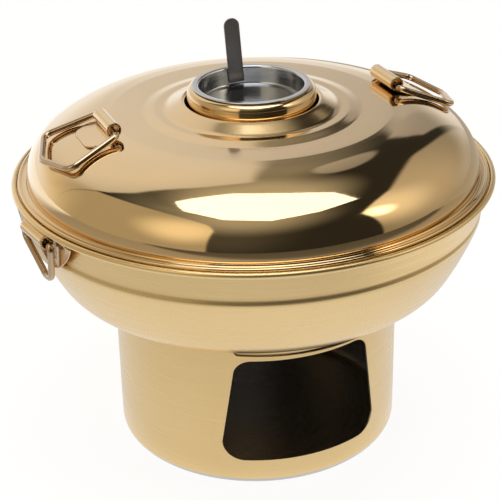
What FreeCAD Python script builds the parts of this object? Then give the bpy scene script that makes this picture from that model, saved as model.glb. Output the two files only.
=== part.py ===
"""Charcoal hot pot with a chimney, a lift-off lid and four hanging wire bails, in millimetres.

The origin is on the floor at the pot's axis, +Z is up and -Y is the front. Every piece is a separate
solid: spun sheet for the pot, lid, chimney and cup, bent sheet for the brackets, bent wire for the bails.
"""
import FreeCAD, Part
import math
import os

import Sketcher

V = FreeCAD.Vector
EDGE_START = 1
EDGE_END = 2
doc = FreeCAD.newDocument("hot_pot")

SIZES = {
    "Sheet metal and clearances": {
        "sheet": (1.0, "thickness of the pot, lid, base and chimney"),
        "seat_gap": (0.3, "gap under each piece that lifts off"),
        "weld_gap": (0.05, "gap at a spot weld between a flat and a round sheet"),
        "hinge_gap": (0.3, "gap between a bail's wire and the bottom of its knuckle"),
        "end_rounding": (0.96, "share of the half width that rounds a slot's or strap's end"),
    },
    "Base": {
        "base_radius": (91.0, "outer radius of the base"),
        "base_height": (107.0, "height of the base's rim over the floor"),
        "base_corner": (8.0, "outer radius at the foot of the wall"),
        "window_azimuth": (19.4, "angle of the window to the right of the front"),
        "window_bottom": (19.5, "height of the window's sill"),
        "window_drop": (16.5, "from the base's rim down to the window's head"),
        "window_top_width": (84.0, "straight width at the head"),
        "window_spread": (19.5, "how much wider the window is at the sill"),
        "window_top_corner": (10.0, "corner radius at the head"),
        "window_bottom_corner": (12.5, "corner radius at the sill"),
        "notch_left_reach": (2.0, "vent notch past the window's straight head, left"),
        "notch_right_reach": (0.4, "vent notch past the window's straight head, right"),
        "notch_bevel": (3.0, "bevel at the notch's left end"),
        "strip_left": (3.3, "strip between window and notch, left"),
        "strip_right": (0.9, "strip between window and notch, right"),
    },
    "Pot": {
        "bowl_flare": (40.3, "from the edge of the flat underside out to the step"),
        "pot_knee_radius": (28.9, "radius of the knee between underside and wall"),
        "pot_knee_turn": (60.4, "angle through which the knee turns"),
        "pot_step_rise": (48.5, "height of the step over the underside"),
        "step_width": (1.2, "how far the band stands in from the step"),
        "step_height": (1.7, "height of the step itself"),
        "band_flare": (1.5, "how much wider the band is at its top"),
        "band_bend": (1.5, "outer bend radius from the band to the ledge"),
        "ledge_rise": (69.4, "underside of the lid's ledge over the pot's underside"),
        "ledge_width": (6.9, "from the band's top out to the edge of the rolled rim"),
        "pot_rim_radius": (150.0, "outer radius of the rolled rim"),
        "pot_bead_radius": (1.8, "radius of the rolled rim's section"),
    },
    "Seat ring under the pot": {
        "seat_ring_clearance": (0.5, "radial play inside the base"),
        "seat_ring_height": (14.3, "height of the ring"),
        "seat_ring_flange": (8.0, "width of the welded flange"),
        "seat_ring_bend": (2.0, "outer bend radius of the ring"),
    },
    "Chimney and grate": {
        "chimney_foot_radius": (59.0, "outer radius of the firebox at its foot"),
        "chimney_flange_width": (7.0, "width of the welded foot flange"),
        "chimney_foot_bend": (3.0, "outer bend radius at the foot"),
        "chimney_height": (124.0, "height from the pot's floor to the mouth"),
        "chimney_neck_radius": (39.7, "outer radius of the neck"),
        "chimney_neck_length": (24.3, "height of the straight neck"),
        "chimney_neck_bend": (30.0, "outer bend radius between cone and neck"),
        "chimney_shoulder": (5.7, "outer radius at the mouth's shoulder"),
        "chimney_mouth_lip": (6.4, "width of the lip round the mouth"),
        "grate_play": (2.0, "radial play of the grate in the firebox"),
        "grate_thickness": (2.0, "thickness of the grate"),
        "grate_slots": (12.0, "number of radial slots"),
        "grate_slot_width": (5.0, "width of a slot"),
        "grate_slot_start": (17.0, "radius at a slot's inner end"),
        "grate_rim": (9.0, "from a slot's outer end to the grate's edge"),
        "lug_count": (3.0, "number of lugs that carry the grate"),
        "lug_azimuth": (30.0, "angle of the first lug from +X"),
        "lug_reach": (8.0, "how far a lug reaches into the firebox"),
        "lug_length": (20.0, "length of a lug"),
        "lug_width": (12.0, "width of a lug"),
        "lug_sheet": (1.5, "thickness of a lug"),
    },
    "Lid": {
        "lid_play": (0.3, "radial play of the lid inside the pot's rolled rim"),
        "lid_bead_radius": (1.15, "radius of the rolled edge's section"),
        "lid_bead_height": (1.1, "height of the rolled edge's centre over the flange's underside"),
        "lid_flange_width": (5.62, "from the foot of the dome out to the rolled edge"),
        "lid_foot_bend": (1.5, "outer bend radius from the dome to the flange"),
        "lid_shoulder_radius": (29.83, "radius of the dome's shoulder"),
        "lid_crease_radius": (86.4, "radius of the crease round the plateau"),
        "lid_crease_rise": (38.3, "height of the crease over the flange"),
        "lid_crease_step": (0.4, "height of the crease's step"),
        "plateau_edge_rise": (0.4, "rise from the crease to the ring step"),
        "ring_step_inside": (60.0, "radius at the ring step's head"),
        "ring_step_width": (7.0, "from the ring step's head out to its foot"),
        "ring_step_rise": (1.1, "height of the ring step"),
        "ring_step_bend": (15.0, "bend radius of the ring step"),
        "collar_rise": (5.0, "height of the collar over the plateau"),
        "collar_radius": (3.2, "outer radius of the collar's lip"),
        "collar_fillet": (8.5, "bend radius from plateau to collar"),
        "collar_turn": (1.2, "straight turned-down edge inside the collar"),
        "lid_hole_play": (1.2, "play of the lid's hole round the chimney's neck"),
    },
    "Knuckles and bails": {
        "knuckle_radius": (4.4, "outer radius of a rolled knuckle"),
        "knuckle_sheet": (0.9, "thickness of a bracket's sheet"),
        "knuckle_length": (28.8, "length of a knuckle"),
        "knuckle_roll": (315.0, "angle through which the sheet is rolled"),
        "wire_radius": (2.0, "radius of the bail wire"),
        "stub_length": (8.0, "length of wire inside each knuckle end"),
    },
    "Lid handles": {
        "lid_handle_azimuth": (22.0, "angle of the right handle from +X"),
        "lid_knuckle_offset": (6.1, "from the crease out to the knuckle's axis"),
        "lid_weld_offset": (18.6, "from the crease out to where the plate touches the dome"),
        "lid_plate_reach": (18.8, "plate length from the knuckle's axis"),
        "lid_plate_flare": (7.1, "how much wider each side of the plate is at its end"),
        "lid_plate_corner": (9.0, "corner radius of the plate"),
        "lid_bail_dip": (6.7, "how much steeper the bail lies on the dome than its plate"),
        "lid_bail_exit": (5.4, "where the leg's line meets the axis, past the knuckle's end"),
        "lid_bail_exit_bend": (4.0, "bend radius beside the knuckle"),
        "lid_bail_leg": (34.0, "distance from the axis to the bail's corners"),
        "lid_bail_half_width": (29.0, "half the width over the corners"),
        "lid_bail_corner_bend": (5.5, "bend radius at the corners"),
        "lid_bail_reach": (44.0, "distance from the axis to the bail's tip"),
        "lid_bail_tip_bend": (10.0, "bend radius at the tip"),
    },
    "Pot handles": {
        "pot_handle_azimuth": (31.3, "angle of the right handle from +X"),
        "rim_gap": (0.2, "gap between the knuckle and the rolled rim above it"),
        "pot_plate_radius": (42.0, "radius of the plate's rounded outline"),
        "pot_plate_bottom": (19.6, "plate length under the knuckle's axis"),
        "pot_plate_top": (3.0, "plate height over the knuckle's axis"),
        "pot_slit_width": (1.5, "width of the relief slit beside a knuckle"),
        "pot_slit_depth": (10.5, "depth of the relief slit under the knuckle's axis"),
        "pot_bail_exit": (4.1, "where a leg's line meets the axis, past the knuckle's end"),
        "pot_bail_knee": (7.0, "distance from the axis to the knee where one leg starts to slant"),
        "pot_bail_exit_bend": (3.0, "bend radius beside the knuckle"),
        "pot_bail_leg": (22.0, "distance from the axis to the bail's lower run"),
        "pot_bail_shift": (12.0, "sideways place of the lower run's middle"),
        "pot_bail_half_width": (4.0, "half the width over the lower corners"),
        "pot_bail_corner_bend": (5.0, "bend radius at the lower corners"),
    },
    "Damper cup": {
        "cup_sheet": (0.8, "thickness of the cup"),
        "cup_play": (0.3, "radial play of the cup in the chimney's mouth"),
        "cup_flange_width": (3.3, "width of the flange round the cup's wall"),
        "cup_taper": (1.4, "how much narrower the cup is at its floor"),
        "cup_depth": (11.9, "depth of the cup"),
        "cup_mouth_bend": (1.3, "bend radius at the mouth"),
        "cup_floor_bend": (2.0, "bend radius at the floor"),
        "strap_azimuth": (107.5, "angle of the strap from +X"),
        "strap_lean": (4.0, "sideways lean of the strap to the left"),
        "strap_width": (9.8, "width of the strap"),
        "strap_sheet": (1.0, "thickness of the strap"),
        "strap_foot_rise": (2.6, "height of the strap's lower end over the cup's floor"),
        "strap_foot_length": (5.8, "height of the part that lies on the cup's wall"),
        "strap_upright": (35.6, "height of the free upright"),
    },
}


# The sheet of driving sizes, and the sizes that follow from them

sizes = doc.addObject("Spreadsheet::Sheet", "sizes")
derived = doc.addObject("App::VarSet", "derived")


def fill_sheet():
    """Write every driving size into the sheet: name, value with its alias, meaning."""
    row = 1
    for group, entries in SIZES.items():
        sizes.set(f"A{row}", group)
        row += 1
        for name, (value, meaning) in entries.items():
            sizes.set(f"A{row}", name)
            sizes.set(f"B{row}", str(value))
            sizes.setAlias(f"B{row}", name)
            sizes.set(f"C{row}", meaning)
            row += 1
    doc.recompute()


def derive(name, formula):
    """Add one derived size, bound to the sheet by its formula."""
    derived.addProperty("App::PropertyFloat", name, "Derived")
    derived.setExpression(name, formula)
    derived.recompute()


def number(name):
    """The present value of "sizes.x" or "derived.x", with an optional minus sign."""
    sign = -1.0 if name.startswith("-") else 1.0
    owner, key = name.lstrip("-").split(".")
    source = sizes if owner == "sizes" else derived
    return sign * float(getattr(source, key))


# Sketch outlines: corners joined by lines or arcs, each bound to named sizes

def corner(x, y, bend=None):
    """A corner reached by a straight line, rounded with the bend radius if one is given."""
    return {"x": x, "y": y, "bend": bend, "radius": None}


def arc_to(x, y, radius, turn, large=False):
    """A corner reached by an arc that turns left or right."""
    return {"x": x, "y": y, "bend": None, "radius": radius, "turn": turn, "large": large}


def place(item):
    """The corner's present place in the sketch. None puts it on an axis."""
    x = 0.0 if item["x"] is None else number(item["x"])
    y = 0.0 if item["y"] is None else number(item["y"])
    return V(x, y, 0)


def arc_middle(start, end, item):
    """The point halfway along an arc of the item's radius."""
    radius = number(item["radius"])
    chord = end - start
    half = chord.Length / 2
    height = math.sqrt(max(radius * radius - half * half, 0.0))
    left = V(-chord.y, chord.x, 0).normalize()
    side = -1.0 if item["turn"] == "left" else 1.0
    rise = radius + height if item["large"] else radius - height
    return (start + end) * 0.5 + left * (side * rise)


def nearest_end(sketch, index, point):
    """Which end of a sketch edge lies at the point, its start or its end."""
    to_start = (sketch.getPoint(index, EDGE_START) - point).Length
    to_end = (sketch.getPoint(index, EDGE_END) - point).Length
    return EDGE_START if to_start < to_end else EDGE_END


def bind(sketch, constraint, expression):
    """Add a constraint whose value follows the expression."""
    index = sketch.addConstraint(constraint)
    sketch.setExpression(f"Constraints[{index}]", expression)


def fix_point(sketch, index, end, item):
    """Hold a point of the sketch at the corner's named place."""
    point = sketch.getPoint(index, end)
    if item["x"] is None:
        sketch.addConstraint(Sketcher.Constraint("PointOnObject", index, end, -2))
    else:
        bind(sketch, Sketcher.Constraint("DistanceX", -1, 1, index, end, point.x), item["x"])
    if item["y"] is None:
        sketch.addConstraint(Sketcher.Constraint("PointOnObject", index, end, -1))
    else:
        bind(sketch, Sketcher.Constraint("DistanceY", -1, 1, index, end, point.y), item["y"])


def bend_ends(before, at, after, radius):
    """Where a bend of the given radius leaves the two lines that meet at a corner."""
    towards = (before - at).normalize()
    away = (after - at).normalize()
    reach = radius / math.tan(towards.getAngle(away) / 2)
    return at + towards * reach, at + away * reach


def draw(sketch, corners, closed=False):
    """Draw the corners' lines, arcs and bends in a sketch, fully bound."""
    count = len(corners)
    places = [place(item) for item in corners]
    entries = list(places)
    exits = list(places)
    for i, item in enumerate(corners):
        if item["bend"]:
            ends = bend_ends(places[i - 1], places[i], places[(i + 1) % count], number(item["bend"]))
            entries[i], exits[i] = ends
    edges = {}
    for i in range(count if closed else count - 1):
        target = (i + 1) % count
        start = exits[i]
        end = entries[target]
        if corners[target]["radius"]:
            middle = arc_middle(start, end, corners[target])
            index = sketch.addGeometry(Part.Arc(start, middle, end))
            bind(sketch, Sketcher.Constraint("Radius", index, number(corners[target]["radius"])),
                 corners[target]["radius"])
        else:
            index = sketch.addGeometry(Part.LineSegment(start, end))
        edges[i] = (index, nearest_end(sketch, index, start), nearest_end(sketch, index, end))
    for i, item in enumerate(corners):
        before = edges.get((i - 1) % count)
        after = edges.get(i)
        if before and after and item["bend"]:
            round_corner(sketch, item, before, after, places[i])
        elif before and after:
            sketch.addConstraint(
                Sketcher.Constraint("Coincident", before[0], before[2], after[0], after[1]))
            fix_point(sketch, after[0], after[1], item)
        elif after:
            fix_point(sketch, after[0], after[1], item)
        else:
            fix_point(sketch, before[0], before[2], item)


def round_corner(sketch, item, before, after, at):
    """Join two lines by a tangent arc, with the sharp corner kept as a construction point."""
    radius = number(item["bend"])
    start = sketch.getPoint(before[0], before[2])
    end = sketch.getPoint(after[0], after[1])
    inward = ((start + end) * 0.5 - at).normalize()
    half_angle = (start - at).getAngle(end - at) / 2
    centre = at + inward * (radius / math.sin(half_angle))
    index = sketch.addGeometry(Part.Arc(start, centre - inward * radius, end))
    first = nearest_end(sketch, index, start)
    second = nearest_end(sketch, index, end)
    sketch.addConstraint(Sketcher.Constraint("Tangent", before[0], before[2], index, first))
    sketch.addConstraint(Sketcher.Constraint("Tangent", after[0], after[1], index, second))
    bind(sketch, Sketcher.Constraint("Radius", index, radius), item["bend"])
    point = sketch.addGeometry(Part.Point(at), True)
    sketch.addConstraint(Sketcher.Constraint("PointOnObject", point, 1, before[0]))
    sketch.addConstraint(Sketcher.Constraint("PointOnObject", point, 1, after[0]))
    fix_point(sketch, point, 1, item)


# Ways of making a piece

def spun_sheet(name, corners, half_thickness):
    """Spin a sheet about the pot's axis: its middle line, thickened to both sides with round edges."""
    profile = doc.addObject("Sketcher::SketchObject", name + "_profile")
    profile.Placement = FreeCAD.Placement(V(0, 0, 0), FreeCAD.Rotation(V(1, 0, 0), 90))
    draw(profile, corners)
    section = doc.addObject("Part::Offset2D", name + "_section")
    section.Source = profile
    section.Fill = True
    section.setExpression("Value", half_thickness)
    spun = doc.addObject("Part::Revolution", name)
    spun.Source = section
    spun.Axis = V(0, 0, 1)
    spun.Angle = 360
    spun.Solid = True
    return spun


def rolled_edge(name, radius, height, section_radius):
    """The closed roll at the edge of a spun sheet."""
    roll = doc.addObject("Part::Torus", name)
    roll.setExpression("Radius1", radius)
    roll.setExpression("Radius2", section_radius)
    roll.setExpression("Placement.Base.z", height)
    return roll


def fused(name, base, tool):
    """Two shapes of one piece joined under the piece's name."""
    piece = doc.addObject("Part::Fuse", name)
    piece.Base = base
    piece.Tool = tool
    return piece


def body_sketch(body, name, role, offset=None):
    """A new sketch on one of the body's own origin planes, moved along its normal if asked."""
    sketch = body.newObject("Sketcher::SketchObject", name)
    plane = next(item for item in body.Origin.OriginFeatures if item.Role == role)
    sketch.AttachmentSupport = (plane, [""])
    sketch.MapMode = "FlatFace"
    if offset:
        sketch.setExpression("AttachmentOffset.Base.z", offset)
    return sketch


def feature(body, kind, sketch, name):
    """A sketch-based feature of the body."""
    made = body.newObject("PartDesign::" + kind, name)
    made.Profile = sketch
    return made


def spin(body, sketch, name):
    """Revolve a closed outline about the pot's axis."""
    made = feature(body, "Revolution", sketch, name)
    made.ReferenceAxis = (sketch, ["V_Axis"])
    made.Angle = 360
    return made


def pad(body, sketch, name, length, symmetric=False):
    """Pad a closed outline along its normal, or to both sides."""
    made = feature(body, "Pad", sketch, name)
    made.setExpression("Length", length)
    made.Midplane = symmetric
    return made


def pocket(body, sketch, name, length, backwards=False):
    """Cut a closed outline into the body."""
    made = feature(body, "Pocket", sketch, name)
    made.setExpression("Length", length)
    made.Reversed = backwards
    return made


def polar_pattern(body, original, name, count):
    """Repeat a feature evenly about the body's vertical axis."""
    axis = next(item for item in body.Origin.OriginFeatures if item.Role == "Z_Axis")
    pattern = body.newObject("PartDesign::PolarPattern", name)
    pattern.Originals = [original]
    pattern.Axis = (axis, [""])
    pattern.Angle = 360
    pattern.setExpression("Occurrences", count)
    body.Tip = pattern
    return pattern


def turned(azimuth):
    """Expression of a turn about the pot's axis."""
    return f"placement(vector(0; 0; 0); rotation(vector(0; 0; 1); {azimuth}))"


def moved(x, z, axis, angle):
    """Expression of a move in the radial plane with a turn about one axis."""
    return f"placement(vector({x}; 0; {z}); rotation(vector({axis}); {angle}))"


# Heights and radii that the pieces share

def shared_sizes():
    """Stack the pieces from the floor up."""
    derive("half_sheet", "sizes.sheet / 2")
    derive("band_top_radius", "sizes.pot_rim_radius - sizes.ledge_width")
    derive("lid_rim_radius", "sizes.pot_rim_radius - 2 * sizes.pot_bead_radius - sizes.lid_play")
    derive("lid_foot_radius", "derived.lid_rim_radius - sizes.lid_flange_width")
    derive("lid_hole_radius", "sizes.chimney_neck_radius + sizes.lid_hole_play")
    derive("chimney_mouth_radius", "sizes.chimney_neck_radius - sizes.chimney_mouth_lip")
    derive("base_inner_radius", "sizes.base_radius - sizes.sheet")
    derive("pot_underside", "sizes.base_height + sizes.seat_gap")
    derive("pot_floor", "derived.pot_underside + sizes.sheet")
    derive("ledge_underside", "derived.pot_underside + sizes.ledge_rise")
    derive("ledge_middle", "derived.ledge_underside + derived.half_sheet")
    derive("ledge_top", "derived.ledge_underside + sizes.sheet")
    derive("firebox_radius", "sizes.chimney_foot_radius - sizes.sheet")
    derive("chimney_top", "derived.pot_floor + sizes.chimney_height")
    derive("lid_underside", "derived.ledge_top + sizes.seat_gap")
    derive("lid_flange_middle", "derived.lid_underside + derived.half_sheet")
    derive("lid_flange_top", "derived.lid_underside + sizes.sheet")
    derive("crease_height", "derived.lid_flange_top + sizes.lid_crease_rise")
    derive("shoulder_height", "derived.lid_flange_top + sizes.lid_foot_bend")
    derive("shoulder_centre", "derived.lid_foot_radius - sizes.lid_shoulder_radius")
    derive("dome_across", "derived.shoulder_centre - sizes.lid_crease_radius")
    derive("dome_up", "derived.crease_height - derived.shoulder_height")
    derive("dome_radius",
           "(derived.dome_across^2 + derived.dome_up^2 - sizes.lid_shoulder_radius^2)"
           " / (2 * (derived.dome_up - sizes.lid_shoulder_radius))")
    derive("dome_centre_height", "derived.crease_height - derived.dome_radius")
    derive("bore_radius", "sizes.knuckle_radius - sizes.knuckle_sheet")
    derive("hinge_drop", "derived.bore_radius - sizes.wire_radius - sizes.hinge_gap")
    derive("knuckle_half", "sizes.knuckle_length / 2")


# Base

def base_shell():
    """A drawn cup with the fire window and the vent notch in its rim."""
    body = doc.addObject("PartDesign::Body", "base_shell")
    body.setExpression("Placement", turned("sizes.window_azimuth"))
    derive("base_inner_corner", "sizes.base_corner - sizes.sheet")
    section = body_sketch(body, "base_section", "XZ_Plane")
    draw(section, [
        corner(None, None),
        corner("sizes.base_radius", None, "sizes.base_corner"),
        corner("sizes.base_radius", "sizes.base_height"),
        corner("derived.base_inner_radius", "sizes.base_height"),
        corner("derived.base_inner_radius", "sizes.sheet", "derived.base_inner_corner"),
        corner(None, "sizes.sheet"),
    ], closed=True)
    spin(body, section, "base_spin")

    derive("window_top", "sizes.base_height - sizes.window_drop")
    derive("window_half_top", "sizes.window_top_width / 2")
    derive("window_half_bottom", "derived.window_half_top + sizes.window_spread / 2")
    window = body_sketch(body, "window_outline", "XZ_Plane")
    draw(window, [
        corner("-derived.window_half_bottom", "sizes.window_bottom", "sizes.window_bottom_corner"),
        corner("derived.window_half_bottom", "sizes.window_bottom", "sizes.window_bottom_corner"),
        corner("derived.window_half_top", "derived.window_top", "sizes.window_top_corner"),
        corner("-derived.window_half_top", "derived.window_top", "sizes.window_top_corner"),
    ], closed=True)
    pocket(body, window, "window", "sizes.base_radius + sizes.sheet", backwards=True)

    derive("notch_left", "derived.window_half_top + sizes.notch_left_reach")
    derive("notch_right", "derived.window_half_top + sizes.notch_right_reach")
    derive("notch_floor_left", "derived.window_top + sizes.strip_left")
    derive("notch_floor_right", "derived.window_top + sizes.strip_right")
    derive("notch_bevel_height", "derived.notch_floor_left + sizes.notch_bevel")
    derive("notch_bevel_place", "derived.notch_left - sizes.notch_bevel")
    derive("notch_top", "sizes.base_height + sizes.sheet")
    notch = body_sketch(body, "notch_outline", "XZ_Plane")
    draw(notch, [
        corner("-derived.notch_left", "derived.notch_top"),
        corner("-derived.notch_left", "derived.notch_bevel_height"),
        corner("-derived.notch_bevel_place", "derived.notch_floor_left"),
        corner("derived.notch_right", "derived.notch_floor_right"),
        corner("derived.notch_right", "derived.notch_top"),
    ], closed=True)
    pocket(body, notch, "notch", "sizes.base_radius + sizes.sheet", backwards=True)
    return body


# Pot with its seat ring, chimney and grate

def pot_bowl():
    """The spun bowl: flat underside, knee, curved wall, step, band, ledge for the lid and rolled rim."""
    derive("band_foot_radius", "derived.band_top_radius - sizes.band_flare")
    derive("pot_step_radius", "derived.band_foot_radius + sizes.step_width")
    derive("pot_flat_radius", "derived.pot_step_radius - sizes.bowl_flare")
    derive("knee_sine", "sin(sizes.pot_knee_turn)")
    derive("knee_cosine", "cos(sizes.pot_knee_turn)")
    derive("knee_end_radius", "derived.pot_flat_radius + sizes.pot_knee_radius * derived.knee_sine")
    derive("knee_end_height",
           "derived.pot_underside + sizes.pot_knee_radius * (1 - derived.knee_cosine)")
    derive("step_foot", "derived.pot_underside + sizes.pot_step_rise")
    derive("wall_across", "derived.pot_step_radius - derived.knee_end_radius")
    derive("wall_up", "derived.step_foot - derived.knee_end_height")
    derive("wall_radius", "(derived.wall_across^2 + derived.wall_up^2) / (2 * (derived.wall_up"
           " * derived.knee_cosine - derived.wall_across * derived.knee_sine))")
    derive("wall_share", "derived.half_sheet / derived.wall_radius")
    derive("wall_centre_radius",
           "derived.knee_end_radius - derived.wall_radius * derived.knee_sine")
    derive("wall_centre_height",
           "derived.knee_end_height + derived.wall_radius * derived.knee_cosine")
    derive("floor_middle", "derived.pot_underside + derived.half_sheet")
    derive("knee_middle_radius", "sizes.pot_knee_radius - derived.half_sheet")
    derive("knee_middle_place", "derived.knee_end_radius - derived.half_sheet * derived.knee_sine")
    derive("knee_middle_height",
           "derived.knee_end_height + derived.half_sheet * derived.knee_cosine")
    derive("wall_middle_radius", "derived.wall_radius - derived.half_sheet")
    derive("step_middle_place", "derived.pot_step_radius"
           " + (derived.wall_centre_radius - derived.pot_step_radius) * derived.wall_share")
    derive("step_middle_height", "derived.step_foot"
           " + (derived.wall_centre_height - derived.step_foot) * derived.wall_share")
    derive("band_foot_place", "derived.band_foot_radius - derived.half_sheet")
    derive("band_foot_height", "derived.step_foot + sizes.step_height")
    derive("band_top_place", "derived.band_top_radius - derived.half_sheet")
    derive("band_middle_bend", "sizes.band_bend + derived.half_sheet")
    derive("pot_bead_place", "sizes.pot_rim_radius - sizes.pot_bead_radius")
    derive("pot_hole_edge", "derived.firebox_radius + derived.half_sheet")
    spun = spun_sheet("pot_sheet", [
        corner("derived.pot_hole_edge", "derived.floor_middle"),
        corner("derived.pot_flat_radius", "derived.floor_middle"),
        arc_to("derived.knee_middle_place", "derived.knee_middle_height",
               "derived.knee_middle_radius", "left"),
        arc_to("derived.step_middle_place", "derived.step_middle_height",
               "derived.wall_middle_radius", "left"),
        corner("derived.band_foot_place", "derived.band_foot_height"),
        corner("derived.band_top_place", "derived.ledge_middle", "derived.band_middle_bend"),
        corner("derived.pot_bead_place", "derived.ledge_middle"),
    ], "derived.half_sheet")
    rim = rolled_edge("pot_rim", "derived.pot_bead_place", "derived.ledge_middle",
                      "sizes.pot_bead_radius")
    return fused("pot_bowl", spun, rim)


def seat_ring():
    """The bent ring under the pot that keeps it centred in the base's rim."""
    derive("ring_radius", "derived.base_inner_radius - sizes.seat_ring_clearance")
    derive("ring_inner_radius", "derived.ring_radius - sizes.sheet")
    derive("ring_flange_radius", "derived.ring_radius - sizes.seat_ring_flange")
    derive("ring_bottom", "derived.pot_underside - sizes.seat_ring_height")
    derive("ring_flange_underside", "derived.pot_underside - sizes.sheet")
    derive("ring_inner_bend", "sizes.seat_ring_bend - sizes.sheet")
    body = doc.addObject("PartDesign::Body", "seat_ring")
    section = body_sketch(body, "seat_ring_section", "XZ_Plane")
    draw(section, [
        corner("derived.ring_radius", "derived.ring_bottom"),
        corner("derived.ring_radius", "derived.pot_underside", "sizes.seat_ring_bend"),
        corner("derived.ring_flange_radius", "derived.pot_underside"),
        corner("derived.ring_flange_radius", "derived.ring_flange_underside"),
        corner("derived.ring_inner_radius", "derived.ring_flange_underside", "derived.ring_inner_bend"),
        corner("derived.ring_inner_radius", "derived.ring_bottom"),
    ], closed=True)
    spin(body, section, "seat_ring_spin")
    return body


def chimney():
    """The firebox cone and its neck, one spun sheet with a foot flange welded on the pot's floor."""
    derive("mouth_middle", "derived.chimney_top - derived.half_sheet")
    derive("neck_middle_radius", "sizes.chimney_neck_radius - derived.half_sheet")
    derive("neck_foot", "derived.chimney_top - sizes.chimney_neck_length")
    derive("shoulder_middle_bend", "sizes.chimney_shoulder - derived.half_sheet")
    derive("neck_middle_bend", "sizes.chimney_neck_bend + derived.half_sheet")
    derive("foot_middle_radius", "sizes.chimney_foot_radius - derived.half_sheet")
    derive("foot_middle_height", "derived.pot_floor + derived.half_sheet")
    derive("foot_middle_bend", "sizes.chimney_foot_bend + derived.half_sheet")
    derive("mouth_edge", "derived.chimney_mouth_radius + derived.half_sheet")
    derive("foot_flange_edge",
           "sizes.chimney_foot_radius + sizes.chimney_flange_width - derived.half_sheet")
    return spun_sheet("chimney", [
        corner("derived.mouth_edge", "derived.mouth_middle"),
        corner("derived.neck_middle_radius", "derived.mouth_middle", "derived.shoulder_middle_bend"),
        corner("derived.neck_middle_radius", "derived.neck_foot", "derived.neck_middle_bend"),
        corner("derived.foot_middle_radius", "derived.foot_middle_height", "derived.foot_middle_bend"),
        corner("derived.foot_flange_edge", "derived.foot_middle_height"),
    ], "derived.half_sheet")


def charcoal_grate():
    """A punched round plate with radial slots, lying on the lugs in the firebox's mouth."""
    derive("grate_radius", "derived.firebox_radius - sizes.grate_play")
    derive("grate_slot_end", "derived.grate_radius - sizes.grate_rim")
    derive("slot_half", "sizes.grate_slot_width / 2")
    derive("slot_corner", "derived.slot_half * sizes.end_rounding")
    body = doc.addObject("PartDesign::Body", "charcoal_grate")
    disc = body_sketch(body, "grate_disc", "XY_Plane", "derived.pot_underside")
    disc.addGeometry(Part.Circle(V(0, 0, 0), V(0, 0, 1), number("derived.grate_radius")))
    disc.addConstraint(Sketcher.Constraint("Coincident", 0, 3, -1, 1))
    bind(disc, Sketcher.Constraint("Radius", 0, number("derived.grate_radius")), "derived.grate_radius")
    pad(body, disc, "grate_plate", "sizes.grate_thickness")
    slot = body_sketch(body, "grate_slot_outline", "XY_Plane", "derived.pot_underside")
    draw(slot, [
        corner("sizes.grate_slot_start", "-derived.slot_half", "derived.slot_corner"),
        corner("derived.grate_slot_end", "-derived.slot_half", "derived.slot_corner"),
        corner("derived.grate_slot_end", "derived.slot_half", "derived.slot_corner"),
        corner("sizes.grate_slot_start", "derived.slot_half", "derived.slot_corner"),
    ], closed=True)
    cut = pocket(body, slot, "grate_slot", "sizes.grate_thickness", backwards=True)
    polar_pattern(body, cut, "grate_slots", "sizes.grate_slots")
    return body


def grate_lugs():
    """Flat lugs welded under the pot's floor, reaching into the firebox to carry the grate."""
    derive("lug_start", "derived.firebox_radius - sizes.lug_reach")
    derive("lug_half", "sizes.lug_width / 2")
    derive("lug_underside", "derived.pot_underside - sizes.lug_sheet")
    lugs = []
    for index in range(round(number("sizes.lug_count"))):
        lug = doc.addObject("Part::Box", f"lug_{index + 1}")
        lug.setExpression("Length", "sizes.lug_length")
        lug.setExpression("Width", "sizes.lug_width")
        lug.setExpression("Height", "sizes.lug_sheet")
        seat = "placement(vector(derived.lug_start; -derived.lug_half; derived.lug_underside);" \
               " rotation(vector(0; 0; 1); 0))"
        turn = turned(f"sizes.lug_azimuth + 360 * {index} / sizes.lug_count")
        lug.setExpression("Placement", turn + " * " + seat)
        lugs.append(lug)
    group = doc.addObject("Part::Compound", "grate_lugs")
    group.Links = lugs
    return group


# Lid

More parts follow.
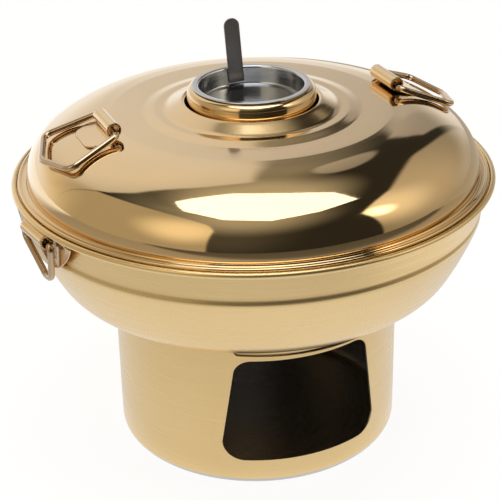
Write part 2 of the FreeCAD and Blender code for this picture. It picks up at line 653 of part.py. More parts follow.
def lid_dome():
    """The spun lid: collar round the chimney hole, plateau with a ring step, dome, flange, rolled edge."""
    derive("dome_middle_radius", "derived.dome_radius - derived.half_sheet")
    derive("shoulder_middle_radius", "sizes.lid_shoulder_radius - derived.half_sheet")
    derive("junction_share",
           "derived.dome_middle_radius / (derived.dome_radius - sizes.lid_shoulder_radius)")
    derive("junction_radius",
           "sizes.lid_crease_radius + derived.dome_across * derived.junction_share")
    derive("junction_height", "derived.dome_centre_height"
           " + (derived.shoulder_height - derived.dome_centre_height) * derived.junction_share")
    derive("crease_middle", "derived.crease_height - derived.half_sheet")
    derive("plateau_edge_radius", "sizes.lid_crease_radius - sizes.lid_crease_step")
    derive("ring_step_outside", "sizes.ring_step_inside + sizes.ring_step_width")
    derive("plateau_edge_middle", "derived.crease_middle + sizes.lid_crease_step")
    derive("ring_foot_middle", "derived.plateau_edge_middle + sizes.plateau_edge_rise")
    derive("ring_head_middle", "derived.ring_foot_middle + sizes.ring_step_rise")
    derive("collar_middle_radius", "sizes.collar_radius - derived.half_sheet")
    derive("collar_centre_height", "derived.ring_head_middle + derived.half_sheet"
           " + sizes.collar_rise - sizes.collar_radius")
    derive("collar_centre_radius", "derived.lid_hole_radius + sizes.collar_radius")
    derive("collar_middle_place", "derived.lid_hole_radius + derived.half_sheet")
    derive("collar_middle_fillet", "sizes.collar_fillet + derived.half_sheet")
    derive("collar_reach", "sizes.collar_radius + sizes.collar_fillet")
    derive("collar_fillet_rise",
           "derived.ring_head_middle + derived.collar_middle_fillet - derived.collar_centre_height")
    derive("collar_across", "sqrt(derived.collar_reach^2 - derived.collar_fillet_rise^2)")
    derive("collar_share", "derived.collar_middle_radius / derived.collar_reach")
    derive("collar_tangent_radius",
           "derived.collar_centre_radius + derived.collar_across * derived.collar_share")
    derive("collar_tangent_height",
           "derived.collar_centre_height + derived.collar_fillet_rise * derived.collar_share")
    derive("plateau_start", "derived.collar_centre_radius + derived.collar_across")
    derive("collar_edge_height", "derived.collar_centre_height - sizes.collar_turn")
    derive("lid_foot_middle", "derived.lid_foot_radius - derived.half_sheet")
    derive("lid_foot_middle_bend", "sizes.lid_foot_bend + derived.half_sheet")
    derive("flange_start", "derived.lid_foot_radius + sizes.lid_foot_bend")
    derive("lid_bead_place", "derived.lid_rim_radius - sizes.lid_bead_radius")
    derive("lid_bead_level", "derived.lid_underside + sizes.lid_bead_height")
    spun = spun_sheet("lid_sheet", [
        corner("derived.collar_middle_place", "derived.collar_edge_height"),
        corner("derived.collar_middle_place", "derived.collar_centre_height"),
        arc_to("derived.collar_tangent_radius", "derived.collar_tangent_height",
               "derived.collar_middle_radius", "right"),
        arc_to("derived.plateau_start", "derived.ring_head_middle",
               "derived.collar_middle_fillet", "left"),
        corner("sizes.ring_step_inside", "derived.ring_head_middle", "sizes.ring_step_bend"),
        corner("derived.ring_step_outside", "derived.ring_foot_middle", "sizes.ring_step_bend"),
        corner("derived.plateau_edge_radius", "derived.plateau_edge_middle"),
        corner("sizes.lid_crease_radius", "derived.crease_middle"),
        arc_to("derived.junction_radius", "derived.junction_height",
               "derived.dome_middle_radius", "right"),
        arc_to("derived.lid_foot_middle", "derived.shoulder_height",
               "derived.shoulder_middle_radius", "right"),
        arc_to("derived.flange_start", "derived.lid_flange_middle",
               "derived.lid_foot_middle_bend", "left"),
        corner("derived.lid_bead_place", "derived.lid_flange_middle"),
    ], "derived.half_sheet")
    edge = rolled_edge("lid_edge", "derived.lid_bead_place", "derived.lid_bead_level",
                       "sizes.lid_bead_radius")
    return fused("lid_dome", spun, edge)


# Brackets with rolled knuckles, and wire bails

def knuckle_sizes():
    """Where the rolled sheet starts and ends, in the knuckle's own frame."""
    derive("roll_end_angle", "270 - sizes.knuckle_roll")
    derive("roll_end_x", "sizes.knuckle_radius * cos(derived.roll_end_angle)")
    derive("roll_end_y", "sizes.knuckle_radius * sin(derived.roll_end_angle)")
    derive("bore_end_x", "derived.bore_radius * cos(derived.roll_end_angle)")
    derive("bore_end_y", "derived.bore_radius * sin(derived.roll_end_angle)")


def bracket(name, plate_outline, placement):
    """A flat plate whose tongue is rolled into a knuckle. The knuckle's axis is the body's Y axis."""
    body = doc.addObject("PartDesign::Body", name)
    body.setExpression("Placement", placement)
    flat = body_sketch(body, name + "_plate_outline", "XY_Plane", "-sizes.knuckle_radius")
    draw(flat, plate_outline, closed=True)
    pad(body, flat, name + "_plate", "sizes.knuckle_sheet")
    roll = body_sketch(body, name + "_roll_section", "XZ_Plane")
    draw(roll, [
        corner(None, "-sizes.knuckle_radius"),
        arc_to("derived.roll_end_x", "derived.roll_end_y", "sizes.knuckle_radius", "right", large=True),
        corner("derived.bore_end_x", "derived.bore_end_y"),
        arc_to(None, "-derived.bore_radius", "derived.bore_radius", "left", large=True),
    ], closed=True)
    pad(body, roll, name + "_roll", "sizes.knuckle_length", symmetric=True)
    return body


def bail(name, corners, placement):
    """Bent wire: two stubs in the knuckle's ends, two legs and the grip. Its hinge is the Y axis."""
    body = doc.addObject("PartDesign::Body", name)
    body.setExpression("Placement", placement)
    route = body_sketch(body, name + "_route", "XY_Plane")
    draw(route, corners)
    section = body_sketch(body, name + "_section", "XZ_Plane", "derived.stub_start")
    section.addGeometry(Part.Circle(V(0, 0, 0), V(0, 0, 1), number("sizes.wire_radius")))
    section.addConstraint(Sketcher.Constraint("Coincident", 0, 3, -1, 1))
    bind(section, Sketcher.Constraint("Radius", 0, number("sizes.wire_radius")), "sizes.wire_radius")
    wire = feature(body, "AdditivePipe", section, name + "_wire")
    wire.Spine = route
    return body


def lid_handle_sizes():
    """Seat the lid's bracket plate on the dome, and find its knuckle."""
    derive("lid_weld_place", "sizes.lid_crease_radius + sizes.lid_weld_offset")
    derive("lid_knuckle_place", "sizes.lid_crease_radius + sizes.lid_knuckle_offset")
    derive("plate_slope", "asin(sizes.lid_weld_offset / derived.dome_radius)")
    derive("weld_height", "derived.dome_centre_height + derived.dome_radius * cos(derived.plate_slope)")
    derive("knuckle_lift", "sizes.knuckle_radius + sizes.weld_gap")
    derive("weld_distance", "(derived.lid_weld_place + derived.knuckle_lift * sin(derived.plate_slope)"
           " - derived.lid_knuckle_place) / cos(derived.plate_slope)")
    derive("lid_knuckle_height", "derived.weld_height + derived.knuckle_lift * cos(derived.plate_slope)"
           " + derived.weld_distance * sin(derived.plate_slope)")
    derive("lid_hinge_height", "derived.lid_knuckle_height - derived.hinge_drop")
    derive("stub_start", "derived.knuckle_half - sizes.stub_length")
    derive("lid_leg_start", "derived.knuckle_half + sizes.lid_bail_exit")
    derive("lid_plate_half", "derived.knuckle_half + sizes.lid_plate_flare")


def lid_handle(side, azimuth):
    """One bracket with its bail on the lid."""
    plate = [
        corner(None, "-derived.knuckle_half"),
        corner("sizes.lid_plate_reach", "-derived.lid_plate_half", "sizes.lid_plate_corner"),
        corner("sizes.lid_plate_reach", "derived.lid_plate_half", "sizes.lid_plate_corner"),
        corner(None, "derived.knuckle_half"),
    ]
    seat = moved("derived.lid_knuckle_place", "derived.lid_knuckle_height", "0; 1; 0",
                 "derived.plate_slope")
    made = [bracket(f"lid_bracket_{side}", plate, turned(azimuth) + " * " + seat)]
    route = [
        corner(None, "-derived.stub_start"),
        corner(None, "-derived.lid_leg_start", "sizes.lid_bail_exit_bend"),
        corner("sizes.lid_bail_leg", "-sizes.lid_bail_half_width", "sizes.lid_bail_corner_bend"),
        corner("sizes.lid_bail_reach", None, "sizes.lid_bail_tip_bend"),
        corner("sizes.lid_bail_leg", "sizes.lid_bail_half_width", "sizes.lid_bail_corner_bend"),
        corner(None, "derived.lid_leg_start", "sizes.lid_bail_exit_bend"),
        corner(None, "derived.stub_start"),
    ]
    rest = moved("derived.lid_knuckle_place", "derived.lid_hinge_height", "0; 1; 0",
                 "derived.plate_slope + sizes.lid_bail_dip")
    made.append(bail(f"lid_bail_{side}", route, turned(azimuth) + " * " + rest))
    return made


def pot_handle_sizes():
    """Seat the pot's bracket plate on the band, and find its knuckle."""
    derive("pot_knuckle_place", "derived.band_top_radius + sizes.weld_gap + sizes.knuckle_radius")
    derive("pot_knuckle_height", "derived.ledge_middle - sizes.pot_bead_radius - sizes.rim_gap"
           " - sizes.knuckle_radius")
    derive("pot_hinge_height", "derived.pot_knuckle_height - derived.hinge_drop")
    derive("plate_centre", "sizes.pot_plate_bottom - sizes.pot_plate_radius")
    derive("plate_top_offset", "-sizes.pot_plate_top - derived.plate_centre")
    derive("plate_half_width", "sqrt(sizes.pot_plate_radius^2 - derived.plate_top_offset^2)")
    derive("slit_outside", "derived.knuckle_half + sizes.pot_slit_width")
    derive("pot_leg_start", "derived.knuckle_half + sizes.pot_bail_exit")
    derive("pot_run_start", "sizes.pot_bail_shift - sizes.pot_bail_half_width")
    derive("pot_run_end", "sizes.pot_bail_shift + sizes.pot_bail_half_width")


def pot_handle(side, azimuth):
    """One bracket with its bail on the pot's band."""
    plate = [
        corner("-sizes.pot_plate_top", "derived.slit_outside"),
        corner("sizes.pot_slit_depth", "derived.slit_outside"),
        corner("sizes.pot_slit_depth", "derived.knuckle_half"),
        corner(None, "derived.knuckle_half"),
        corner(None, "-derived.knuckle_half"),
        corner("sizes.pot_slit_depth", "-derived.knuckle_half"),
        corner("sizes.pot_slit_depth", "-derived.slit_outside"),
        corner("-sizes.pot_plate_top", "-derived.slit_outside"),
        corner("-sizes.pot_plate_top", "-derived.plate_half_width"),
        arc_to("-sizes.pot_plate_top", "derived.plate_half_width", "sizes.pot_plate_radius", "left"),
    ]
    upright = moved("derived.pot_knuckle_place", "derived.pot_knuckle_height", "0; 1; 0", "90")
    made = [bracket(f"pot_bracket_{side}", plate, turned(azimuth) + " * " + upright)]
    route = [
        corner(None, "-derived.stub_start"),
        corner(None, "-derived.pot_leg_start", "sizes.pot_bail_exit_bend"),
        corner("sizes.pot_bail_knee", "-derived.pot_leg_start", "sizes.pot_bail_corner_bend"),
        corner("sizes.pot_bail_leg", "derived.pot_run_start", "sizes.pot_bail_corner_bend"),
        corner("sizes.pot_bail_leg", "derived.pot_run_end", "sizes.pot_bail_corner_bend"),
        corner(None, "derived.pot_leg_start", "sizes.pot_bail_exit_bend"),
        corner(None, "derived.stub_start"),
    ]
    hanging = moved("derived.pot_knuckle_place", "derived.pot_hinge_height", "0; 1; 0", "90")
    made.append(bail(f"pot_bail_{side}", route, turned(azimuth) + " * " + hanging))
    return made


# Damper cup and its strap

def damper_cup():
    """The shallow cup that hangs by its flange in the chimney's mouth and damps the fire."""
    derive("cup_underside", "derived.chimney_top + sizes.seat_gap")
    derive("cup_top", "derived.cup_underside + sizes.cup_sheet")
    derive("cup_floor", "derived.cup_top - sizes.cup_depth")
    derive("cup_floor_underside", "derived.cup_floor - sizes.cup_sheet")
    derive("cup_mouth_outside", "derived.chimney_mouth_radius - sizes.cup_play")
    derive("cup_mouth_radius", "derived.cup_mouth_outside - sizes.cup_sheet")
    derive("cup_floor_radius", "derived.cup_mouth_radius - sizes.cup_taper")
    derive("cup_floor_outside", "derived.cup_floor_radius + sizes.cup_sheet")
    derive("cup_flange_radius", "derived.cup_mouth_outside + sizes.cup_flange_width")
    derive("cup_floor_outer_bend", "sizes.cup_floor_bend + sizes.cup_sheet")
    derive("cup_mouth_under_bend", "sizes.cup_mouth_bend - sizes.cup_sheet")
    body = doc.addObject("PartDesign::Body", "damper_cup")
    section = body_sketch(body, "cup_section", "XZ_Plane")
    draw(section, [
        corner(None, "derived.cup_floor_underside"),
        corner("derived.cup_floor_outside", "derived.cup_floor_underside",
               "derived.cup_floor_outer_bend"),
        corner("derived.cup_mouth_outside", "derived.cup_underside", "derived.cup_mouth_under_bend"),
        corner("derived.cup_flange_radius", "derived.cup_underside"),
        corner("derived.cup_flange_radius", "derived.cup_top"),
        corner("derived.cup_mouth_radius", "derived.cup_top", "sizes.cup_mouth_bend"),
        corner("derived.cup_floor_radius", "derived.cup_floor", "sizes.cup_floor_bend"),
        corner(None, "derived.cup_floor"),
    ], closed=True)
    spin(body, section, "cup_spin")
    return body


def cup_strap():
    """A flat strap welded up the cup's wall, bent upright where it leaves the wall."""
    derive("strap_half", "sizes.strap_width / 2")
    derive("wall_slope", "sizes.cup_taper / sizes.cup_depth")
    derive("strap_back", "sqrt((derived.cup_floor_radius + derived.wall_slope * sizes.strap_foot_rise)^2"
           " - derived.strap_half^2) - 3 * sizes.weld_gap")
    derive("strap_foot", "derived.cup_floor + sizes.strap_foot_rise")
    derive("kink_shift", "derived.wall_slope * sizes.strap_foot_length")
    derive("kink_front", "derived.kink_shift - sizes.strap_sheet")
    derive("strap_rise", "sizes.strap_foot_length + sizes.strap_upright")
    derive("strap_corner", "derived.strap_half * sizes.end_rounding")
    body = doc.addObject("PartDesign::Body", "cup_strap")
    seat = moved("derived.strap_back", "derived.strap_foot", "1; 0; 0", "-sizes.strap_lean")
    body.setExpression("Placement", turned("sizes.strap_azimuth") + " * " + seat)
    foot = body_sketch(body, "strap_foot_section", "XZ_Plane")
    draw(foot, [
        corner(None, None),
        corner("derived.kink_shift", "sizes.strap_foot_length"),
        corner("derived.kink_front", "sizes.strap_foot_length"),
        corner("-sizes.strap_sheet", None),
    ], closed=True)
    pad(body, foot, "strap_foot", "sizes.strap_width", symmetric=True)
    upright = body_sketch(body, "strap_upright_outline", "YZ_Plane", "derived.kink_front")
    draw(upright, [
        corner("-derived.strap_half", "sizes.strap_foot_length"),
        corner("derived.strap_half", "sizes.strap_foot_length"),
        corner("derived.strap_half", "derived.strap_rise", "derived.strap_corner"),
        corner("-derived.strap_half", "derived.strap_rise", "derived.strap_corner"),
    ], closed=True)
    pad(body, upright, "strap_upright", "sizes.strap_sheet")
    return body


# The whole pot

def build():
    """Make every piece and return the pieces under their own names."""
    fill_sheet()
    shared_sizes()
    pieces = [base_shell(), pot_bowl(), seat_ring(), chimney(), charcoal_grate(), grate_lugs()]
    pieces.append(lid_dome())
    knuckle_sizes()
    lid_handle_sizes()
    pieces += lid_handle("right", "sizes.lid_handle_azimuth")
    pieces += lid_handle("left", "sizes.lid_handle_azimuth + 180")
    pot_handle_sizes()
    pieces += pot_handle("right", "sizes.pot_handle_azimuth")
    pieces += pot_handle("left", "sizes.pot_handle_azimuth + 180")
    pieces += [damper_cup(), cup_strap()]
    doc.recompute()
    return pieces


def check(pieces):
    """Stop if any object failed or any piece is empty or broken."""
    for item in doc.Objects:
        if "Invalid" in item.State or "Error" in item.State:
            raise RuntimeError(f"{item.Name} did not compute: {item.State}")
    for piece in pieces:
        if piece.Shape.isNull() or not piece.Shape.isValid():
            raise RuntimeError(f"{piece.Label} has no valid shape")


def export(pieces):
    """Write one file for each piece."""
    os.makedirs("parts", exist_ok=True)
    for piece in pieces:
        piece.Shape.exportStep(f"parts/{piece.Label}.step")
        print(piece.Label, len(piece.Shape.Solids), "solid,", round(piece.Shape.Volume), "cubic mm")


made_pieces = build()
check(made_pieces)
export(made_pieces)
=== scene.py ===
# %% [markdown]
# # A charcoal hot pot in gold-coloured steel
#
# The real pot is spun and pressed from sheet steel about a millimetre thick and coated in a gold
# tone. The lid and the chimney's neck are polished like a mirror and the brackets a little less,
# the bowl and the base have a satin brushing, and the damper cup in the chimney's mouth is bare.
# A mirror shows every fault of a mesh, so the pieces that shine are rebuilt here as smooth
# surfaces of revolution, bent ribbons and swept wires, in the places that the CAD gives.
# Their sizes are in millimetres, as in the CAD source, and MM turns them into Blender's metres.

# %% Load the fixed frame
import math

import bmesh
import bpy
import numpy as np
from mathutils import Matrix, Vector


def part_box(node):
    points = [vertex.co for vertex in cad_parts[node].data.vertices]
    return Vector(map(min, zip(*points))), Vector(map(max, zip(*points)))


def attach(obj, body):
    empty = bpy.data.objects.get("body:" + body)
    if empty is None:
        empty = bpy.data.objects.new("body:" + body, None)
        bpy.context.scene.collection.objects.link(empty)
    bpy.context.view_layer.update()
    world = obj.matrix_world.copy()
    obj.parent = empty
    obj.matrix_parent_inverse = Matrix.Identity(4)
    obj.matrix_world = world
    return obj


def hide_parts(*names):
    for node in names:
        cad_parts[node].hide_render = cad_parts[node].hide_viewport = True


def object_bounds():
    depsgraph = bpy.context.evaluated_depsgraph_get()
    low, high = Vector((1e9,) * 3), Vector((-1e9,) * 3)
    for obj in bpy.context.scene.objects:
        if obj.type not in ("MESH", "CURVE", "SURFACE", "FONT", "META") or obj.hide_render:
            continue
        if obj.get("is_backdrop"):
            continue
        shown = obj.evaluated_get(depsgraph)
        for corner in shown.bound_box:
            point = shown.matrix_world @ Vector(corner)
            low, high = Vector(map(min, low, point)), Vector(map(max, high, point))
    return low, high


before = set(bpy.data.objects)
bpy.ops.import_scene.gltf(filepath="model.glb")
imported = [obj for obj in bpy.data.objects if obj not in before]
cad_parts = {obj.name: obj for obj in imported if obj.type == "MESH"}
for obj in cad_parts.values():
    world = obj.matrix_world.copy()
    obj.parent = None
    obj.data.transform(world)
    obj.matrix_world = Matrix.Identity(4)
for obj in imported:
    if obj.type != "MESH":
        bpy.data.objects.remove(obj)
cad_low, cad_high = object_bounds()
MM = 0.001
print("nodes:", len(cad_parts))

# %% [markdown]
# ## Curves that a spinner's tool follows
#
# Seen from the side, a spun sheet is one bent line turned round the axis. It could be a chain of
# free curves, but a maker's drawing gives straight stretches and arcs, so the line is drawn from
# those, in very short steps.

# %% Angles and steps
FINE = 0.05


def steps(length, least):
    """The number of points that cut a length into fine steps, or the least number."""
    return max(least, math.ceil(length / FINE) + 1)


def unit(vectors):
    """Vectors divided by their lengths."""
    return vectors / np.hypot(vectors[..., 0], vectors[..., 1])[..., None]


def directions(start_deg, end_deg, count):
    """Unit vectors (cos a, sin a), a going from start to end in even steps."""
    a = np.radians(np.linspace(start_deg, end_deg, count))
    return np.c_[np.cos(a), np.sin(a)]


def bearing(vector):
    """The angle of a vector in degrees."""
    return math.degrees(math.atan2(vector[1], vector[0]))


def turn_between(a, b):
    """The angle from a to b in degrees. Its tangent is their cross over their dot product."""
    return math.degrees(math.atan2(a[0] * b[1] - a[1] * b[0], a @ b))


print("a drawn line has a point every", FINE, "mm")


# %% Straight stretches, arcs and rounded corners
def line(start, end):
    """Points from start to end: start + t (end - start), in fine steps."""
    start, end = np.array(start, float), np.array(end, float)
    t = np.linspace(0.0, 1.0, steps(np.hypot(*(end - start)), 2))
    return start + t[:, None] * (end - start)


def arc(centre, radius, start_deg, end_deg):
    """Points round a centre: centre + radius (cos a, sin a), a from start to end."""
    length = abs(math.radians(end_deg - start_deg)) * radius
    return np.array(centre, float) + radius * directions(start_deg, end_deg, steps(length, 7))


def arc_between(start, end, centre):
    """The shorter arc from one point to another round a centre."""
    a, b = np.array(start, float) - centre, np.array(end, float) - centre
    return arc(centre, np.hypot(*a), bearing(a), bearing(a) + turn_between(a, b))


def fillet(before, corner, after, radius):
    """The arc that touches both stretches at a corner. Its centre lies on the bisector, and it
    starts radius / tan(half the corner's angle) before the corner."""
    before, corner, after = (np.array(p, float) for p in (before, corner, after))
    a, b = unit(before - corner), unit(after - corner)
    half = math.acos(float(np.clip(a @ b, -1, 1))) / 2
    centre = corner + unit(a + b) * radius / math.sin(half)
    first = corner + a * radius / math.tan(half) - centre
    last = corner + b * radius / math.tan(half) - centre
    return arc(centre, radius, bearing(first), bearing(first) + turn_between(first, last))


def route(*corners):
    """Straight stretches through corners. A corner's third number rounds it with that radius."""
    parts, at = [], corners[0][:2]
    for here, after in zip(corners[1:-1], corners[2:]):
        if len(here) > 2:
            bend = fillet(at, here[:2], after[:2], here[2])
            parts += [line(at, bend[0]), bend]
            at = bend[-1]
        else:
            parts.append(line(at, here[:2]))
            at = here[:2]
    return np.vstack(parts + [line(at, corners[-1][:2])])


print("a corner of 10 mm rounded by 4 mm has", len(route((0, 0), (10, 0, 4), (10, 10))), "points")

# %% [markdown]
# ## From a line to a sheet
#
# The line is the middle of the sheet, with half of the thickness on each side. Where an arc
# begins, its bend would change at once, and a polished wall would show that as a hard edge in its
# reflections. So the line is first run through a narrow bell curve, which eases each crease as a
# real tool does. Then most of its points can go: few are needed where it is straight.

# %% Even steps and soft creases
# The bell curve's spread, and how many spreads of it count.
EASING = 0.4
BELL_REACH = 4


def left_of(points):
    """Unit normals on the left of a line of points: its direction turned by a quarter."""
    run = np.gradient(points, axis=0)
    return unit(np.c_[-run[:, 1], run[:, 0]])


def read_at(places, along, values):
    """Values known along a line, read at other places of it, one column after another."""
    return np.c_[tuple(np.interp(places, along, column) for column in values.T)]


def softened(points, spread=EASING):
    """The line in even steps, averaged with a bell curve of that spread. The ends are mirrored
    through themselves first, so they keep their place and direction."""
    points = points[np.r_[True, np.hypot(*np.diff(points, axis=0).T) > 1e-9]]
    along = np.r_[0.0, np.cumsum(np.hypot(*np.diff(points, axis=0).T))]
    points = read_at(np.linspace(0.0, along[-1], steps(along[-1], 2)), along, points)
    reach = min(math.ceil(BELL_REACH * spread / FINE), len(points) - 1)
    weight = np.exp(-0.5 * (np.arange(-reach, reach + 1) * FINE / spread) ** 2)
    weight /= weight.sum()
    before = 2 * points[0] - points[reach:0:-1]
    after = 2 * points[-1] - points[-2:-reach - 2:-1]
    padded = np.vstack([before, points, after])
    return np.c_[tuple(np.convolve(column, weight, "valid") for column in padded.T)]


def thinned(points, normals, longest=3.5, sharpest=7.0):
    """Keep few points where the line is straight and many where it turns: each step costs its
    length over the longest plus its turn over the sharpest, and the points share the cost."""
    step = np.hypot(*np.diff(points, axis=0).T) / longest
    turn = np.degrees(np.arccos(np.clip((normals[1:] * normals[:-1]).sum(1), -1, 1))) / sharpest
    cost = np.r_[0.0, np.cumsum(step + turn)]
    even = np.linspace(0.0, cost[-1], math.ceil(cost[-1]) + 1)
    return read_at(even, cost, points), unit(read_at(even, cost, normals))


print("a crease is eased over", BELL_REACH * EASING, "mm to each side")

# %% The outline of a sheet
# Half of the sheet's thickness, and the points round an open edge and round a rolled bead.
SHEET = 0.5
EDGE_POINTS = 9
BEAD_POINTS = 33


def sheet(middle, half=SHEET, on_axis=False, bead=None, spread=EASING):
    """The outline of a bent sheet and its normals: left side, far end, right side, near end. An
    end is a half circle, a bead is most of a larger one, and on the axis there is no end."""
    middle = softened(middle, spread)
    trim = round(half / FINE)
    middle = middle[0 if on_axis else trim:len(middle) if bead else len(middle) - trim]
    normal = left_of(middle)
    left = thinned(middle + half * normal, normal)
    right = thinned((middle - half * normal)[::-1], -normal[::-1])
    begin, end = bearing(normal[0]), bearing(normal[-1])
    if bead:
        neck = math.degrees(math.asin(half / bead))
        far = directions(end + 90 - neck, end - 270 + neck, BEAD_POINTS)
    else:
        far = directions(end, end - 180, EDGE_POINTS)[1:-1]
    places, normals = [left[0], middle[-1] + (bead or half) * far, right[0]], [left[1], far, right[1]]
    if not on_axis:
        near = directions(begin - 180, begin - 360, EDGE_POINTS)[1:-1]
        places.append(middle[0] + half * near)
        normals.append(near)
    return np.vstack(places), np.vstack(normals)


print("a straight sheet of 20 mm needs", len(sheet(line((0, 0), (20, 0)))[0]), "points")

# %% [markdown]
# ## From a grid of points to a closed mesh
#
# Every new piece is a grid: one direction runs along a profile, the other round the axis, along a
# wire or across a ribbon. Points that fall on the same place, as on a pole or a seam, become one,
# so the mesh is closed. Where a formula knows the surface's normal, it goes into the mesh too.

# %% Grids into meshes
# Places are the same when they agree to this many decimals of a millimetre.
DECIMALS = 4


def grid_faces(rows, columns, wrap_rows, wrap_columns):
    """Four corners for each cell of a grid whose points are stored row by row."""
    index = np.arange(rows * columns).reshape(rows, columns)
    index = np.vstack([index, index[:1]]) if wrap_rows else index
    index = np.hstack([index, index[:, :1]]) if wrap_columns else index
    corners = (index[:-1, :-1], index[1:, :-1], index[1:, 1:], index[:-1, 1:])
    return np.stack(corners, 2)


def in_scene(name, data):
    """A new object at the origin, linked to the scene."""
    obj = bpy.data.objects.new(name, data)
    bpy.context.scene.collection.objects.link(obj)
    return obj


def surface(name, grid, normals=None, wrap_rows=False, wrap_columns=False, cells=None):
    """A mesh object at the origin from a grid of points in millimetres. cells is a mask of the
    cells to keep. Points in the same place are merged, so a cell at a pole becomes a triangle,
    and one that has no area is left out."""
    faces = grid_faces(*grid.shape[:2], wrap_rows, wrap_columns)
    faces = faces[cells] if cells is not None else faces.reshape(-1, 4)
    points = grid.reshape(-1, 3)
    places = np.round(points, DECIMALS)
    kept, first, target = np.unique(places, axis=0, return_index=True, return_inverse=True)
    faces = target.reshape(-1)[faces]
    beside, opposite = faces != np.roll(faces, 1, 1), faces[:, :2] != faces[:, 2:]
    whole = beside.all(1) & opposite.all(1)
    short = [tuple(dict.fromkeys(face)) for face in faces[~whole].tolist()]
    triangles = np.array([face for face in short if len(face) == 3], int).reshape(-1, 3)
    used = np.unique(np.concatenate([faces[whole].ravel(), triangles.ravel()]))
    number = np.zeros(len(kept), int)
    number[used] = np.arange(len(used))
    polygons = number[faces[whole]].tolist() + number[triangles].tolist()
    mesh = bpy.data.meshes.new(name)
    mesh.from_pydata((points[first][used] * MM).tolist(), [], polygons)
    mesh.shade_smooth()
    if normals is not None:
        mesh.normals_split_custom_set_from_vertices(normals.reshape(-1, 3)[first][used].tolist())
    print(name, len(used), "points,", len(polygons), "faces")
    return in_scene(name, mesh)


# %% Surfaces of revolution
COLUMNS = 256


def revolved(radius, a, height):
    """Points of a surface of revolution: r cos a, r sin a, z."""
    return np.stack(np.broadcast_arrays(radius * np.cos(a), radius * np.sin(a), height), 2)


def spun(name, outline, closed=True):
    """An outline and its normals turned round the axis in even columns."""
    points, normals = outline
    apart = np.hypot(*(points - np.roll(points, 1, 0)).T) > 10 ** -DECIMALS
    a = np.linspace(0.0, 2 * np.pi, COLUMNS, endpoint=False)
    grid, facing = (revolved(part[apart, :1], a, part[apart, 1:]) for part in (points, normals))
    return surface(name, grid, facing, wrap_rows=closed, wrap_columns=True)


def stands_for(obj, body, node):
    """Set a finished piece on its body, in the place of its CAD node."""
    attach(obj, body)
    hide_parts(node)
    corners = np.array(obj.bound_box)
    off = np.abs(np.array([corners.min(0), corners.max(0)]) - np.array(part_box(node))).max()
    print(obj.name, "differs from its CAD box by", round(float(off) / MM, 2), "mm")
    return obj


print("a spun piece has", COLUMNS, "columns")

# %% [markdown]
# ## The lid
#
# The lid is a dome with a narrow flat ring on top, a low bead round that ring, and a neck that
# sleeves the chimney. It was spun over a former from a flat disc and polished, and its edge is
# rolled. Its arcs here are the ones of the CAD source, which came from its outline in the photo.
# The neck has a tighter lip and a straighter flank than the CAD has, as the photo shows them.

# %% Lid
# Points (r, z) where its stretches meet.
DOME_TOP = (93.59, 216.455)
DOME_SHOULDER = (126.224, 205.354)
DOME_FOOT = (139.98, 180.5)
LID_FLANGE = (141.98, 178.5)
LID_NECK = ((41.4, 219.3), (41.4, 224.48, 1.3), (53.25, 218.7, 9.0), (60.0, 218.7, 15.0),
            (67.0, 217.6, 15.0), (86.0, 217.19), DOME_TOP)


def lid_middle():
    """Neck up, over the bead, across the ring, down the dome's two arcs and out to the rim."""
    return np.vstack([
        route(*LID_NECK),
        arc_between(DOME_TOP, DOME_SHOULDER, (86.4, 141.80)),
        arc_between(DOME_SHOULDER, DOME_FOOT, (110.65, DOME_FOOT[1])),
        arc_between(DOME_FOOT, LID_FLANGE, (LID_FLANGE[0], DOME_FOOT[1])),
        route(LID_FLANGE, (143.9, LID_FLANGE[1], 1.0), (144.95, 179.1)),
    ])


lid = spun("lid_spinning", sheet(lid_middle(), bead=1.15))
stands_for(lid, "lid", "lid_dome")

# %% [markdown]
# ## The bowl, the chimney and the seat ring
#
# The bowl turns from a flat floor into a slowly curving side, then a small step, an upright band
# and a beaded rim. The chimney is a separate tube, wider at the foot, welded to the floor's hole.
# A hidden ring under the bowl drops into the base.

# %% Bowl
# Points (r, z) where its stretches meet.
BOWL_FLOOR = (102.5, 107.8)
BOWL_SIDE = (127.194, 122.172)
BOWL_STEP = (142.326, 155.96)
RIM_HEIGHT = 177.2


def bowl_middle():
    """Floor, corner arc, long side arc, step, band and the outward rim that carries the bead."""
    return np.vstack([
        line((58.0, BOWL_FLOOR[1]), BOWL_FLOOR),
        arc_between(BOWL_FLOOR, BOWL_SIDE, (BOWL_FLOOR[0], 136.2)),
        arc_between(BOWL_SIDE, BOWL_STEP, (-41.535, 218.024)),
        route(BOWL_STEP, (141.1, 157.5), (142.6, RIM_HEIGHT, 2.0), (148.2, RIM_HEIGHT)),
    ])


bowl = spun("pot_spinning", sheet(bowl_middle(), bead=1.8, spread=1.3))
stands_for(bowl, "pot", "pot_bowl")

# %% Chimney and seat ring
NECK_RADIUS = 39.2
MOUTH_HEIGHT = 231.8
CHIMNEY_FLANGE = 108.8
RING_RADIUS = 89.0
RING_TOP = 106.8


def chimney_middle():
    """Mouth's lip, straight neck, and the flare that ends in a flange on the bowl's floor."""
    return route((33.3, MOUTH_HEIGHT), (NECK_RADIUS, MOUTH_HEIGHT, 3.6), (NECK_RADIUS, 208.0, 30.5),
                 (58.5, CHIMNEY_FLANGE, 3.5), (66.0, CHIMNEY_FLANGE))


def ring_middle():
    """A flange under the bowl's floor, a rounded corner and an upright wall."""
    return route((81.5, RING_TOP), (RING_RADIUS, RING_TOP, 1.5), (RING_RADIUS, 93.0))


chimney = spun("chimney_tube", sheet(chimney_middle()))
stands_for(chimney, "pot", "chimney")
ring = spun("seat_ring_turned", sheet(ring_middle()))
stands_for(ring, "pot", "seat_ring")

# %% [markdown]
# ## The damper cup
#
# A shallow pressed cup hangs by its flange in the chimney's mouth and closes it. It is bare
# steel. Its line starts on the axis, so the inside and the outside of its floor close in poles.

